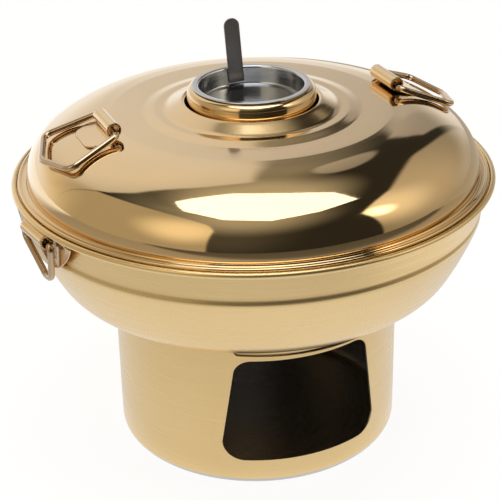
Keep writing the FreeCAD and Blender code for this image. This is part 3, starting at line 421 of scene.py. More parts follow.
# %% Damper cup
CUP_HALF = 0.4
CUP_FLOOR = 221.1
CUP_FLANGE = 233.0


def cup_middle():
    """Floor from the axis, rounded corner, leaning wall and the flange that it hangs by."""
    return route((0.0, CUP_FLOOR), (31.2, CUP_FLOOR, 2.4),
                 (32.6, CUP_FLANGE, 0.9), (36.3, CUP_FLANGE))


cup = spun("cup_pressing", sheet(cup_middle(), half=CUP_HALF, on_axis=True), closed=False)
stands_for(cup, "cup", "damper_cup")

# %% [markdown]
# ## The base
#
# The base is a cup of sheet steel, open at the top, with a flat floor. A window for the charcoal
# is cut through its wall, and a shallow notch lets air past the bowl. A boolean could cut both,
# but it tends to leave long thin triangles that a satin wall shows. So the wall is one grid whose
# columns pass through the window's outline: a lower strip rises to the window's sill, and an upper
# strip starts at its head. The hole's edge is exact, and Solidify gives the sheet its millimetre.

# %% Window and notch
# Corners (x across the wall, z up) seen from the window's side. The third number is a radius.
WINDOW = ((-51.75, 19.5, 12.5), (51.75, 19.5, 12.5), (42.0, 90.5, 10.0), (-42.0, 90.5, 10.0))
BASE_TOP = 107.0
NOTCH = ((-44.06, BASE_TOP), (-44.0, 96.8), (-41.0, 93.8), (42.4, 91.4), (42.46, BASE_TOP))
# About how many points each bend and each straight side of the window has.
BEND_POINTS = 14
SIDE_POINTS = 10


def window_edges():
    """The window's sill and head as points (x, z) from left to right: its rounded outline, cut
    in two at its leftmost and its rightmost point."""
    turns = zip(WINDOW[-1:] + WINDOW[:-1], WINDOW, WINDOW[1:] + WINDOW[:1])
    bends = [fillet(before[:2], here[:2], after[:2], here[2]) for before, here, after in turns]
    pieces = []
    for bend, following in zip(bends, bends[1:] + bends[:1]):
        straight = np.linspace(bend[-1], following[0], SIDE_POINTS + 2)[1:-1]
        pieces += [bend[::max(1, len(bend) // BEND_POINTS)], straight]
    outline = np.vstack(pieces)
    outline = np.roll(outline, -outline[:, 0].argmin(), 0)
    right = outline[:, 0].argmax()
    return outline[:right + 1], np.vstack([outline[right:], outline[:1]])[::-1]


sill, head = window_edges()
print("window:", len(sill), "points on the sill's side,", len(head), "on the head's")

# %% Columns of the wall
BASE_RADIUS = 90.5
NOT_IN_FRONT = 200.0
BACK_COLUMNS = 188

across = np.unique(np.round(np.concatenate([sill[:, 0], head[:, 0], [x for x, z in NOTCH]]), 2))
across = across[np.r_[True, np.diff(across) > 0.04]]
front = np.arcsin(across / BASE_RADIUS) - np.pi / 2
back = np.linspace(front[-1], front[0] + 2 * np.pi, BACK_COLUMNS + 2)[1:-1]
angle = np.concatenate([front, back])
x_wall = np.where(np.sin(angle) < 0, BASE_RADIUS * np.cos(angle), NOT_IN_FRONT)
in_window = (x_wall > sill[0, 0]) & (x_wall < sill[-1, 0])
low_edge = np.where(in_window, np.interp(x_wall, *sill.T), sill[0, 1])
high_edge = np.where(in_window, np.interp(x_wall, *head.T), sill[0, 1])
top_edge = np.interp(x_wall, *np.array(NOTCH).T, left=BASE_TOP, right=BASE_TOP)
print("wall:", len(angle), "columns,", int(in_window.sum()), "of them through the window")

# %% Rows of the base
BASE_TURN = math.radians(19.4)
BASE_CORNER = 7.5
WALL_START = 11.0
LOWER_ROWS = 3
UPPER_ROWS = 6


def base_grid():
    """Rows of points: floor and corner from the profile, the strip up to the window's sill, and
    the strip from its head to the top. The cells between the strips are left out: they are the
    hole, and beside the window they have no height."""
    corner = (BASE_RADIUS, SHEET, BASE_CORNER)
    profile = softened(route((0.0, SHEET), corner, (BASE_RADIUS, WALL_START)))
    profile = thinned(profile, left_of(profile), longest=9.0)[0]
    lower = np.linspace(0.0, 1.0, LOWER_ROWS + 1)[1:, None] * (low_edge - WALL_START) + WALL_START
    upper = np.linspace(0.0, 1.0, UPPER_ROWS)[:, None] * (top_edge - high_edge) + high_edge
    heights = np.concatenate([np.repeat(profile[:, 1:], len(angle), 1), lower, upper])
    radii = np.r_[profile[:, 0], np.full(LOWER_ROWS + UPPER_ROWS, BASE_RADIUS)]
    cells = np.ones((len(radii) - 1, len(angle)), bool)
    cells[len(profile) + LOWER_ROWS - 1] = False
    return revolved(radii[:, None], angle + BASE_TURN, heights), cells


grid, cells = base_grid()
print("base:", len(grid), "rows of points")

# %% Thickness, and the base
# A turn between faces that is sharper than this is an edge.
CREASE = math.radians(50)


def thickened(obj, thickness, rounding=0.0):
    """The object's mesh with its sheet thickness, crisp where its edges turn sharply."""
    solid = obj.modifiers.new("thickness", "SOLIDIFY")
    solid.thickness = thickness * MM
    solid.offset = 0.0
    solid.use_even_offset = True
    if rounding:
        bevel = obj.modifiers.new("rounding", "BEVEL")
        bevel.width = rounding * MM
        bevel.segments = 2
        bevel.limit_method = "ANGLE"
        bevel.angle_limit = CREASE
        bevel.harden_normals = True
    evaluated = obj.evaluated_get(bpy.context.evaluated_depsgraph_get())
    shaped = bpy.data.meshes.new_from_object(evaluated)
    obj.modifiers.clear()
    flat, obj.data = obj.data, shaped
    bpy.data.meshes.remove(flat)
    shaped.shade_smooth()
    shaped.set_sharp_from_angle(angle=CREASE)
    return obj


base = thickened(surface("base_pressing", grid, wrap_columns=True, cells=cells), 2 * SHEET)
stands_for(base, "base", "base_shell")

# %% [markdown]
# ## The brackets
#
# Each bracket is one strip whose end is rolled into a knuckle for the wire. A ribbon shows this
# best: its path runs along the plate and round the roll, and its half width follows the plate's
# outline. It is made lying flat at first, then tilted and moved to its place.

# %% Ribbons and their places
# The roll's middle radius, and half of the strip's thickness and width in it.
ROLL = 3.95
PLATE_HALF = 0.45
KNUCKLE_HALF = 14.4
ROLL_TURN = 315
ROLL_POINTS = 46
RIBBON_COLUMNS = 15
# The wire lies this far below the knuckle's centre.
WIRE_DROP = 1.2
# The distance of each bail's wire from the pot's axis, and its height.
LID_HINGE = (92.5, 221.5419)
POT_HINGE = (147.55, 169.6)
# The lid's plates lie along the dome's slope, and the pot's hang straight down.
LID_SLOPE = 14.262
UPRIGHT = 90.0
SIDES = (("right", 0.0), ("left", 180.0))
LID_AZIMUTH = 22.0
POT_AZIMUTH = 31.3
# The rounding of the edges of plates and strap.
EASED = 0.2


def roll_path(stops):
    """Points (x, z) of the ribbon: the flat plate at the given x stops, then the round roll."""
    flat = np.c_[stops, np.full(len(stops), -ROLL)]
    return np.vstack([flat, ROLL * directions(270, 270 - ROLL_TURN, ROLL_POINTS)[1:]])


def ribbon(path, wide):
    """A grid with one row for each point (x, z) of a path, whose y values are that row of wide."""
    x, z = (np.broadcast_to(part[:, None], wide.shape) for part in path.T)
    return np.stack([x, wide, z], 2)


def round_axis(x, y, z, azimuth_deg):
    """Points turned about the pot's axis: x cos a - y sin a, x sin a + y cos a, z."""
    a = math.radians(azimuth_deg)
    return np.stack([x * math.cos(a) - y * math.sin(a), x * math.sin(a) + y * math.cos(a), z], -1)


def placed(points, centre, tilt_deg, azimuth_deg):
    """Tilt about the tangent, move out to the centre's radius and height, turn to the azimuth."""
    tilt = math.radians(tilt_deg)
    x, y, z = np.moveaxis(points, -1, 0)
    out = centre[0] + x * math.cos(tilt) + z * math.sin(tilt)
    up = centre[1] - x * math.sin(tilt) + z * math.cos(tilt)
    return round_axis(out, y, up, azimuth_deg)


def knuckle(hinge):
    """The centre of the roll above a bail's wire."""
    return hinge[0], hinge[1] + WIRE_DROP


print("a roll is", round(2 * (ROLL + PLATE_HALF), 1), "mm thick")

# %% Lid brackets
PLATE_LONG = 18.8
PLATE_WIDE = 21.5
PLATE_CORNER = 9.0


def lid_bracket_grid():
    """A plate that widens from the roll and ends in two large corners, then the roll."""
    rim = route((0.0, KNUCKLE_HALF), (PLATE_LONG, PLATE_WIDE, PLATE_CORNER), (PLATE_LONG, 0.0))
    rim = thinned(rim, left_of(rim), longest=3.0, sharpest=6.0)[0][::-1]
    rim = rim[np.r_[True, np.diff(rim[:, 0]) < -0.002]]
    path = roll_path(rim[:, 0])
    half = np.r_[rim[:, 1], np.full(len(path) - len(rim), KNUCKLE_HALF)]
    return ribbon(path, half[:, None] * np.linspace(-1, 1, RIBBON_COLUMNS))


brackets = []
for side, turn in SIDES:
    grid = placed(lid_bracket_grid(), knuckle(LID_HINGE), LID_SLOPE, LID_AZIMUTH + turn)
    strip = thickened(surface(f"lid_bracket_{side}_strip", grid), 2 * PLATE_HALF, EASED)
    brackets.append(stands_for(strip, "lid", f"lid_bracket_{side}"))

# %% [markdown]
# ## The pot's brackets
#
# The pot's plates are segments of a disc. Two slits free the strip that is rolled and leave an ear
# on each side. Strip and ears are three grids that meet at the slits' ends and become one mesh.

# %% Pot brackets
# The disc, its centre's place along the strip, and where the slits and the ears end.
DISC = 42.0
DISC_CENTRE = -22.4
SLIT_END = 10.5
EAR_TOP = -3.0
SLIT_OUTSIDE = 15.9
EAR_COLUMNS = 6
EAR_ROWS = 12
DISC_ROWS = 22
SLIT_ROWS = 7


def chord(x):
    """Half the disc's chord at x: the root of its radius squared less the distance squared."""
    return np.sqrt(DISC ** 2 - (x - DISC_CENTRE) ** 2)


def pot_bracket_grids():
    """The strip, its mask of cells, and one ear. Below the slits all columns shrink with the
    disc's chord. Above them the ear follows the circle, and the middle goes on into the roll."""
    end = math.acos((SLIT_END - DISC_CENTRE) / DISC)
    below = DISC_CENTRE + DISC * np.cos(np.linspace(0, end, DISC_ROWS))
    above = np.linspace(SLIT_END, 0.0, SLIT_ROWS + 1)[1:]
    path = roll_path(np.r_[below, above])
    share = np.linspace(1.0, 0.0, EAR_COLUMNS)
    at_slit = chord(SLIT_END)
    ear = SLIT_OUTSIDE + share * (at_slit - SLIT_OUTSIDE)
    middle = np.linspace(-KNUCKLE_HALF, KNUCKLE_HALF, RIBBON_COLUMNS)
    columns = np.r_[-ear, middle, ear[::-1]]
    plate = columns * chord(below)[:, None] / at_slit
    wide = np.vstack([plate, np.tile(columns, (len(path) - len(below), 1))])
    cells = np.ones((len(path) - 1, len(columns) - 1), bool)
    cells[len(below) - 1:, :EAR_COLUMNS] = False
    cells[len(below) - 1:, -EAR_COLUMNS:] = False
    ear_x = np.linspace(SLIT_END, EAR_TOP, EAR_ROWS)
    ear_wide = SLIT_OUTSIDE + share * (chord(ear_x)[:, None] - SLIT_OUTSIDE)
    return ribbon(path, wide), cells, ribbon(np.c_[ear_x, np.full(EAR_ROWS, -ROLL)], ear_wide)


def merged(name, *objects):
    """One mesh from several, with their doubles merged and all faces turned the same way."""
    whole = bmesh.new()
    for obj in objects:
        whole.from_mesh(obj.data)
        bpy.data.objects.remove(obj)
    bmesh.ops.remove_doubles(whole, verts=whole.verts, dist=0.01 * MM)
    bmesh.ops.recalc_face_normals(whole, faces=whole.faces)
    mesh = bpy.data.meshes.new(name)
    whole.to_mesh(mesh)
    whole.free()
    mesh.shade_smooth()
    return in_scene(name, mesh)


for side, turn in SIDES:
    main, cells, ear = pot_bracket_grids()
    seat = (knuckle(POT_HINGE), UPRIGHT, POT_AZIMUTH + turn)
    other = (ear * (1, -1, 1))[:, ::-1]
    strip = merged(f"pot_bracket_{side}_strip", surface("strip", placed(main, *seat), cells=cells),
                   surface("ear_one", placed(ear, *seat)), surface("ear_two", placed(other, *seat)))
    strip = thickened(strip, 2 * PLATE_HALF, EASED)
    brackets.append(stands_for(strip, "pot", f"pot_bracket_{side}"))

# %% [markdown]
# ## The wire bails
#
# Each bail is one bent wire whose two ends slip into the knuckle. It is a circle carried along a
# route that lies in a plane, so the circle's two directions are the route's left and the plane's
# own normal, and the wire never twists.

# %% Wire carried along a route
# The wire's radius, the points round it, and the angles and the length of its domed ends.
WIRE = 2.0
WIRE_COLUMNS = 24
CAP = np.radians([90, 60, 35, 15])
CAP_LONG = 0.8


def wire_grid(corners):
    """Centre line plus r (cos a left - sin a up). At each end the circle shrinks to a flat dome,
    whose normals lean along the wire."""
    middle = softened(route(*corners), spread=0.6)
    middle, left = thinned(middle, left_of(middle), longest=4.0, sharpest=6.0)
    ahead = np.c_[left[:, 1], -left[:, 0]]
    shift = np.r_[-np.sin(CAP), np.zeros(len(middle)), np.sin(CAP[::-1])] * CAP_LONG
    size = np.r_[np.cos(CAP), np.ones(len(middle)), np.cos(CAP[::-1])] * WIRE
    row = np.r_[np.zeros(len(CAP), int), np.arange(len(middle)), np.full(len(CAP), len(middle) - 1)]
    middle, left, ahead = middle[row] + shift[:, None] * ahead[row], left[row], ahead[row]
    a = np.linspace(0, 2 * np.pi, WIRE_COLUMNS, endpoint=False)
    outward = np.cos(a)[None, :, None] * left[:, None]
    up = np.broadcast_to(-np.sin(a)[None, :, None], outward.shape[:2] + (1,))
    outward = np.concatenate([outward, up], 2)
    flat = np.zeros((len(middle), 1))
    lean = np.concatenate([ahead * np.sign(shift)[:, None], flat], 1)
    upright = (size / WIRE)[:, None, None]
    places = np.concatenate([middle, flat], 1)[:, None] + size[:, None, None] * outward
    return places, outward * upright + lean[:, None] * np.sqrt(1 - upright ** 2)


def bail(name, corners, hinge, tilt, azimuth):
    """A wire bail in its plane, then placed on its bracket's hinge."""
    grid, normals = wire_grid(corners)
    facing = placed(normals, (0.0, 0.0), tilt, azimuth)
    obj = surface(name + "_wire", placed(grid, hinge, tilt, azimuth), facing, wrap_columns=True)
    return stands_for(obj, name, name)


print("a wire is", 2 * WIRE, "mm thick")

# %% Bails
# Corners (away from the knuckle, along it) with their bends. A lid bail is a round-tipped shield,
# and a pot bail drops to a knee before it slants. A lid bail lies steeper than its plate.
LID_BAIL = ((0.0, -6.4), (0.0, -19.8, 4.0), (34.0, -29.0, 5.5), (44.0, 0.0, 10.0),
            (34.0, 29.0, 5.5), (0.0, 19.8, 4.0), (0.0, 6.4))
POT_BAIL = ((0.0, -6.4), (0.0, -18.5, 3.0), (7.0, -18.5, 5.0), (22.0, 8.0, 5.0),
            (22.0, 16.0, 5.0), (0.0, 18.5, 3.0), (0.0, 6.4))
LID_BAIL_SLOPE = LID_SLOPE + 6.7

wires = []
for side, turn in SIDES:
    wires.append(bail(f"lid_bail_{side}", LID_BAIL, LID_HINGE, LID_BAIL_SLOPE, LID_AZIMUTH + turn))
    wires.append(bail(f"pot_bail_{side}", POT_BAIL, POT_HINGE, UPRIGHT, POT_AZIMUTH + turn))

# %% [markdown]
# ## The cup's strap
#
# A plain steel strip stands on the cup's wall as its handle. Its foot leans with the wall, and its
# top corners are almost a half circle. It is a ribbon again, which runs upwards.

# %% Strap
STRAP_THICK = 1.0
STRAP_TALL = 41.4
STRAP_HALF = 4.9
STRAP_CORNER = 4.704
# How far out the foot is at its first heights, and the rest above them.
FOOT_LEAN = (-0.5, -0.16, 0.13)
UPRIGHT_LEAN = 0.182
STRAP_STOPS = (0.0, 2.9, 5.3, 6.3, 14.0, 22.0, 29.0, 34.0)
STRAP_COLUMNS = 7
CORNER_ROWS = 15
# The strap leans sideways, and its foot is on the cup's wall.
STRAP_TILT = math.radians(-4.0)
STRAP_FOOT = (30.5675, 224.1)
STRAP_AZIMUTH = 107.5


def strap_grid():
    """Rows up the strip: the foot leans with the cup's wall, and the half width falls round the
    top corners as a quarter of a circle does."""
    fall, rise = STRAP_CORNER * directions(0, 88, CORNER_ROWS).T
    height = np.r_[STRAP_STOPS, STRAP_TALL - STRAP_CORNER + rise]
    half = np.r_[np.full(len(STRAP_STOPS), STRAP_HALF), STRAP_HALF - STRAP_CORNER + fall]
    lean = np.r_[FOOT_LEAN, np.full(len(height) - len(FOOT_LEAN), UPRIGHT_LEAN)]
    return ribbon(np.c_[lean, height], half[:, None] * np.linspace(1, -1, STRAP_COLUMNS))


def strap_placed(points):
    """Turn about the radial direction, set on the cup's wall, turn about the pot's axis."""
    x, y, z = np.moveaxis(points, -1, 0)
    along = y * math.cos(STRAP_TILT) - z * math.sin(STRAP_TILT)
    up = y * math.sin(STRAP_TILT) + z * math.cos(STRAP_TILT) + STRAP_FOOT[1]
    return round_axis(x + STRAP_FOOT[0], along, up, STRAP_AZIMUTH)


strap = thickened(surface("cup_strap_strip", strap_placed(strap_grid())), STRAP_THICK, EASED)
stands_for(strap, "cup", "cup_strap")

# %% [markdown]
# ## The finishes
#
# All the gold is one kind of coating: it looks pale straw where it is satin, because the satin
# mixes many reflections, and deep brown and gold where it is a mirror. So the finishes differ
# mostly in roughness and brushing, and only a little in colour: the bowl's colour is painted
# lighter, as painted light for the bright floor that it reflects, and the wires' colour is painted
# darker and browner, as painted shade for what their tight curves reflect. A finish is a node tree,
# and a few short calls fill it.

# %% Calls for a node tree
# The places of the colours among a Mix node's sockets.
COLOUR_ONE, COLOUR_TWO, COLOUR_OUT = 6, 7, 2


class Nodes:
    """A node tree with short calls, each of which adds a node and gives its output."""

    def __init__(self, tree):
        self.tree = tree

    def put(self, socket, value):
        """Link a socket, or write a number, a colour or a vector into it."""
        if isinstance(value, bpy.types.NodeSocket):
            self.tree.links.new(value, socket)
        else:
            socket.default_value = value

    def node(self, kind, inputs, output=0, **settings):
        """A new node with its settings, and its inputs filled by their names or numbers."""
        node = self.tree.nodes.new("ShaderNode" + kind)
        for name, value in settings.items():
            setattr(node, name, value)
        for socket, value in inputs.items():
            self.put(node.inputs[socket], value)
        return node.outputs[output]

    def end(self, kind, value):
        """The tree's output node."""
        self.put(self.tree.nodes.new("ShaderNodeOutput" + kind).inputs[0], value)

    def math(self, operation, *values):
        """One arithmetic step."""
        return self.node("Math", dict(enumerate(values)), operation=operation)

    def plus(self, *values):
        """The sum of two."""
        return self.math("ADD", *values)

    def times(self, *values):
        """The product of two."""
        return self.math("MULTIPLY", *values)

    def most(self, *values):
        """The larger of two."""
        return self.math("MAXIMUM", *values)

    def length(self, x, y):
        """The length of a flat vector: the root of x x + y y."""
        return self.math("SQRT", self.plus(self.times(x, x), self.times(y, y)))

    def split(self, vector):
        """A vector's x, y and z."""
        return self.node("SeparateXYZ", {0: vector}).node.outputs

    def spread(self, *values):
        """Map low..high to start..end, or to 0..1, with a soft step."""
        return self.node("MapRange", dict(enumerate(values)), interpolation_type="SMOOTHSTEP")

    def noise(self, vector, scale, detail, **fourth):
        """Noise of a vector, or of a vector and a fourth number W."""
        inputs = {"Vector": vector, "Scale": scale, "Detail": detail, **fourth}
        return self.node("TexNoise", inputs, "Fac", noise_dimensions="4D" if fourth else "3D")

    def mix(self, share, first, second):
        """A colour between two."""
        first, second = ((*c, 1.0) if isinstance(c, tuple) else c for c in (first, second))
        inputs = {"Factor": share, COLOUR_ONE: first, COLOUR_TWO: second}
        return self.node("Mix", inputs, COLOUR_OUT, data_type="RGBA")


print("calls:", *[name for name in vars(Nodes) if name[0] != "_"])

# %% [markdown]
# ## Brushing
#
# Spun brushing runs round the axis. A Mapping node stretches a noise only along straight lines, so
# the noise reads the direction from the axis instead, in which it changes slowly, and the height
# and the radius, in which it changes fast. The streaks then close round the pot.

# %% A metal finish
# The depth of the relief of brushing in metres.
RELIEF_DEPTH = 0.0002
# Nearly all of the noise lies between these.
STREAK_RANGE = (0.25, 0.75)


class Finish(Nodes):
    """A metal's node tree, with calls for the shader at its end."""

    def __init__(self, name, colour, roughness):
        self.material = bpy.data.materials.new(name)
        self.material.use_nodes = True
        super().__init__(self.material.node_tree)
        self.shader = next(n for n in self.tree.nodes if n.type == "BSDF_PRINCIPLED")
        self.set("Metallic", 1.0)
        self.set("Base Color", (*colour, 1.0))
        self.set("Roughness", roughness)
        self.set("Coat Roughness", roughness)
        self.place = self.node("TexCoord", {}, "Object")

    def set(self, socket, value):
        """Link or write a socket of the shader."""
        self.put(self.shader.inputs[socket], value)

    def linked(self, socket):
        """What is linked to a socket of the shader now."""
        return self.shader.inputs[socket].links[0].from_socket

    def parts(self):
        """x, y, z and the distance from the pot's axis."""
        x, y, z = self.split(self.place)
        return x, y, z, self.length(x, y)

    def rings(self, fineness, slowness):
        """Brushing round the axis: noise of (x/r, y/r) and, much faster, of z - r and z + r."""
        x, y, z, r = self.parts()
        safe = self.most(r, 0.001)
        flat = [self.times(self.math("DIVIDE", side, safe), slowness) for side in (x, y)]
        down = self.times(self.math("SUBTRACT", z, r), fineness)
        vector = self.node("CombineXYZ", dict(enumerate((*flat, down))))
        return self.noise(vector, 1.0, 2.0, W=self.times(self.plus(z, r), fineness))

    def bump(self, height, strength):
        """A small relief from a height."""
        inputs = {"Height": height, "Strength": strength, "Distance": RELIEF_DEPTH}
        self.set("Normal", self.node("Bump", inputs))

    def give(self, *objects):
        """Put this finish on objects."""
        for obj in objects:
            obj.data.materials.clear()
            obj.data.materials.append(self.material)
        print(self.material.name, "on", ", ".join(obj.name for obj in objects))


def brushed_metal(name, shades, roughness, wander, relief, fineness, slowness, stains):
    """Roughness and relief follow the brushing, and a cloudy noise mixes the two shades. stains
    holds that noise's scale, detail, lower and upper limit."""
    metal = Finish(name, shades[0], roughness)
    streaks = metal.rings(fineness, slowness)
    rough = metal.spread(streaks, *STREAK_RANGE, roughness - wander, roughness + wander)
    metal.set("Roughness", rough)
    cloud = metal.noise(metal.place, *stains[:2])
    metal.set("Base Color", metal.mix(metal.spread(cloud, *stains[2:]), *shades))
    if relief:
        metal.bump(streaks, relief)
    print(name, "has", len(metal.tree.nodes), "nodes")
    return metal


# %% [markdown]
# ## Gold, satin and mirror
#
# Under the clear coat the gold has faint cloudy stains, and its roughness follows the brushing.
# The lid's neck and the flat ring round it are touched more, so they are duller than the dome.

# %% Gold
COAT_IOR = 1.5
GOLD_STAINS = (9.0, 4.0, 0.35, 0.7)
# Where the lid is duller, and by how much.
LID_DULLER = ((0.050, 0.056, 0.04), (0.086, 0.093, 0.065))
POLISHED = ((0.81, 0.59, 0.315), (0.85, 0.63, 0.345))
BRUSHED = ((0.80, 0.575, 0.255), (0.84, 0.61, 0.285))
# The bowl's colours are the base's gold painted lighter, as painted light for the bright floor it
# reflects.
BOWL_COLOURS_PAINTED_LIGHTER = ((0.89, 0.645, 0.295), (0.93, 0.68, 0.325))
# The wires' colours are the same gold painted darker and browner, as painted shade for what their
# tight curves reflect.
WIRE_COLOURS_PAINTED_DARKER = ((0.58, 0.42, 0.27), (0.66, 0.48, 0.30))
# Each gold has its shades, its roughness and how far that wanders, its relief and its fineness.
GOLDS = {
    "mirror_gold": (POLISHED, 0.055, 0.02, 0.006, 900.0, LID_DULLER),
    "neck_gold": (POLISHED, 0.09, 0.03, 0.01, 900.0),
    "bowl_satin_gold": (BOWL_COLOURS_PAINTED_LIGHTER, 0.32, 0.07, 0.012, 1300.0),
    "bracket_gold": (POLISHED, 0.18, 0.05, 0.01, 900.0),
    "wire_gold": (WIRE_COLOURS_PAINTED_DARKER, 0.17, 0.03, 0.0, 60.0),
    "base_satin_gold": (BRUSHED, 0.32, 0.06, 0.008, 1300.0),
}


def coated(name, shades, roughness, wander, relief, fineness, duller=()):
    """Brushed metal under a clear coat. Each entry of duller adds roughness inside its first
    radius, falling to none at its second."""
    metal = brushed_metal(name, shades, roughness, wander, relief, fineness, 3.0, GOLD_STAINS)
    for near, far, extra in duller:
        share = metal.spread(metal.parts()[3], near, far, extra, 0.0)
        metal.set("Roughness", metal.plus(metal.linked("Roughness"), share))
    metal.set("Coat Weight", 1.0)
    metal.set("Coat IOR", COAT_IOR)
    return metal


gold = {name: coated(name, *values) for name, values in GOLDS.items()}

# %% Gold on its pieces
# The inside of the base, within its wall and above its floor's middle, is greyer.
INNER_BASE = (0.50, 0.50, 0.52)

inner = gold["base_satin_gold"]
x, y, z, r = inner.parts()
within = inner.math("LESS_THAN", r, BASE_RADIUS * MM)
within = inner.times(within, inner.math("GREATER_THAN", z, SHEET * MM))
inner.set("Base Color", inner.mix(within, inner.linked("Base Color"), INNER_BASE))

gold["mirror_gold"].give(lid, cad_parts["lid_dome"])
gold["neck_gold"].give(chimney)
gold["bowl_satin_gold"].give(bowl, ring)
gold["base_satin_gold"].give(base)
gold["bracket_gold"].give(*brackets)
gold["wire_gold"].give(*wires)

# %% [markdown]
# ## Bare steel
#
# The cup, its strap and the grate have no coating. Stainless steel is greyer and cooler than the
# gold, and the cup's floor, which closes the fire, is a darker grey than its wall. The grate and
# its lugs are plain pieces deep inside, so they keep their CAD meshes.

# %% Steel
STEEL_STAINS = (30.0, 5.0, 0.3, 0.75)
# How far the roughness wanders, the relief, and how fast it changes across and along the rings.
STEEL_BRUSHING = (0.07, 0.10, 1300.0, 2.0)
# A darker grey for the cup's floor, below the height that follows.
DARK_FLOOR_GREY = (0.32, 0.33, 0.35)
DARK_FLOOR_HEIGHT = 0.2224


def steel(name, colour, roughness):
    """Bare steel brushed in rings, a fifth darker in its stains."""
    shades = (tuple(0.8 * c for c in colour), colour)
    return brushed_metal(name, shades, roughness, *STEEL_BRUSHING, STEEL_STAINS)


cup_steel = steel("cup_steel", (0.74, 0.76, 0.79), 0.19)
floor_only = cup_steel.math("LESS_THAN", cup_steel.parts()[2], DARK_FLOOR_HEIGHT)
cup_steel.set("Base Color", cup_steel.mix(floor_only, cup_steel.linked("Base Color"), DARK_FLOOR_GREY))
cup_steel.give(cup)
steel("strap_steel", (0.44, 0.43, 0.44), 0.34).give(strap)
grate_pieces = [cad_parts[node] for node in ("charcoal_grate", "grate_lugs")]
steel("grate_steel", (0.30, 0.28, 0.26), 0.45).give(*grate_pieces)

# %% [markdown]
# ## The studio
#
# A mirror shows its room, so the room matters as much as the metal. The lid's reflections tell
# what stood round the pot: a wide eight-sided soft box overhead, pale walls behind and at both
# sides, a dark opening towards the camera, and a white floor. The camera itself sees plain white.
# The soft box is a glowing card, because it also throws the light and the pot's soft shadow.

# %% Overhead soft box
BOX_HEIGHT = 1.2
BOX_LIGHT = 2.3
# Its corners, x and y, with the camera towards negative y.
BOX_OUTLINE = ((-384, 87), (-82, 245), (368, 209), (561, 76),
               (410, -280), (126, -571), (-212, -499), (-401, -177))


def card(name, outline, height):
    """A flat card through an outline's x and y, which belongs to the stage."""
    mesh = bpy.data.meshes.new(name)
    mesh.from_pydata([(x, y, height) for x, y in outline], [], [tuple(range(len(outline)))])
    flat = in_scene(name, mesh)
    flat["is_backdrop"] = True
    print(name, "is", [round(side, 2) for side in flat.dimensions[:2]], "m")
    return flat


soft_box = card("soft_box", [(x * MM, y * MM) for x, y in BOX_OUTLINE], BOX_HEIGHT)
soft_box.visible_camera = False
material = bpy.data.materials.new("soft_box")
material.use_nodes = True
soft_box.data.materials.append(material)
nodes = Nodes(material.node_tree)
nodes.tree.nodes.clear()
nodes.end("Material", nodes.node("Emission", {"Strength": BOX_LIGHT}))

# %% [markdown]
# ## The room seen in the metal
#
# The walls could be cards too, but a painted world is simpler and throws no shadows. It is drawn
# on a round chart of the sky: the middle is straight up, 90 is the horizon, x runs to the right
# and y towards the camera, all in degrees. Panels with straight sides are the walls, and soft
# round spots are the brighter places on them.

# %% Chart of the sky
world = bpy.data.worlds.new("studio")
bpy.context.scene.world = world
world.use_nodes = True
room = Nodes(world.node_tree)
room.tree.nodes.clear()
dx, dy, dz = room.split(room.node("TexCoord", {}, "Generated"))
from_zenith = room.times(room.math("ARCCOSINE", dz), 180 / math.pi)
scale = room.math("DIVIDE", from_zenith, room.most(room.length(dx, dy), 0.0001))
chart_x = room.times(dx, scale)
chart_y = room.times(dy, room.times(scale, -1.0))


def panel(inside, soft, *path):
    """1 within a panel of the chart and 0 outside: the product of its sides' soft steps, in the
    distance along each side's normal, which points inwards."""
    share = 1.0
    for (ax, ay), (bx, by) in zip(path, path[1:]):
        long = math.hypot(bx - ax, by - ay)
        nx, ny = (ay - by) / long, (bx - ax) / long
        sign = math.copysign(1.0, nx * (inside[0] - ax) + ny * (inside[1] - ay))
        nx, ny = nx * sign, ny * sign
        distance = room.plus(room.times(chart_x, nx), room.times(chart_y, ny))
        start = nx * ax + ny * ay
        share = room.times(room.spread(distance, start - soft, start + soft), share)
    return share


def spot(centre, near, far, stretch=1.0):
    """1 within a near distance of a place on the chart, falling to 0 at a far one."""
    x = room.plus(chart_x, -centre[0])
    y = room.times(room.plus(chart_y, -centre[1]), stretch)
    return room.spread(room.length(x, y), near, far, 1.0, 0.0)


def lit(colour, least, *spots):
    """A colour times its light: the least one plus each spot's strength times its share."""
    total = least
    for strength, *place in spots:
        total = room.plus(room.times(spot(*place), strength), total)
    return room.node("VectorMath", {0: colour, "Scale": total}, operation="SCALE")


print("chart:", len(room.tree.nodes), "nodes")

# %% Walls
# Each panel has a place inside it, how soft its edge is, and its outline.
left_panel = panel((-60, 20), 1.2, (-62, -25.5), (-41.6, -21.2), (-18.4, 32), (-18.4, 44), (-32, 76.8))
right_panel = panel((60, 0), 1.2, (37, -73), (28, -45.6), (42, 18), (72, 36))
back_panel = panel((-30, -50), 1.0, (-62, -25.5), (-27.2, -19.8), (-9.6, -26.4), (0, -33.6), (1, -62))
far_back = panel((6, -80), 1.0, (-3, -61.0), (9, -65.0), (30, -74.0))
far_right = panel((20, -75), 0.8, (9, -70), (12.5, -61), (18, -58.4), (25, -58.6), (34, -72))
leaf = spot((11.5, -47.0), 3.6, 4.8, 0.52)

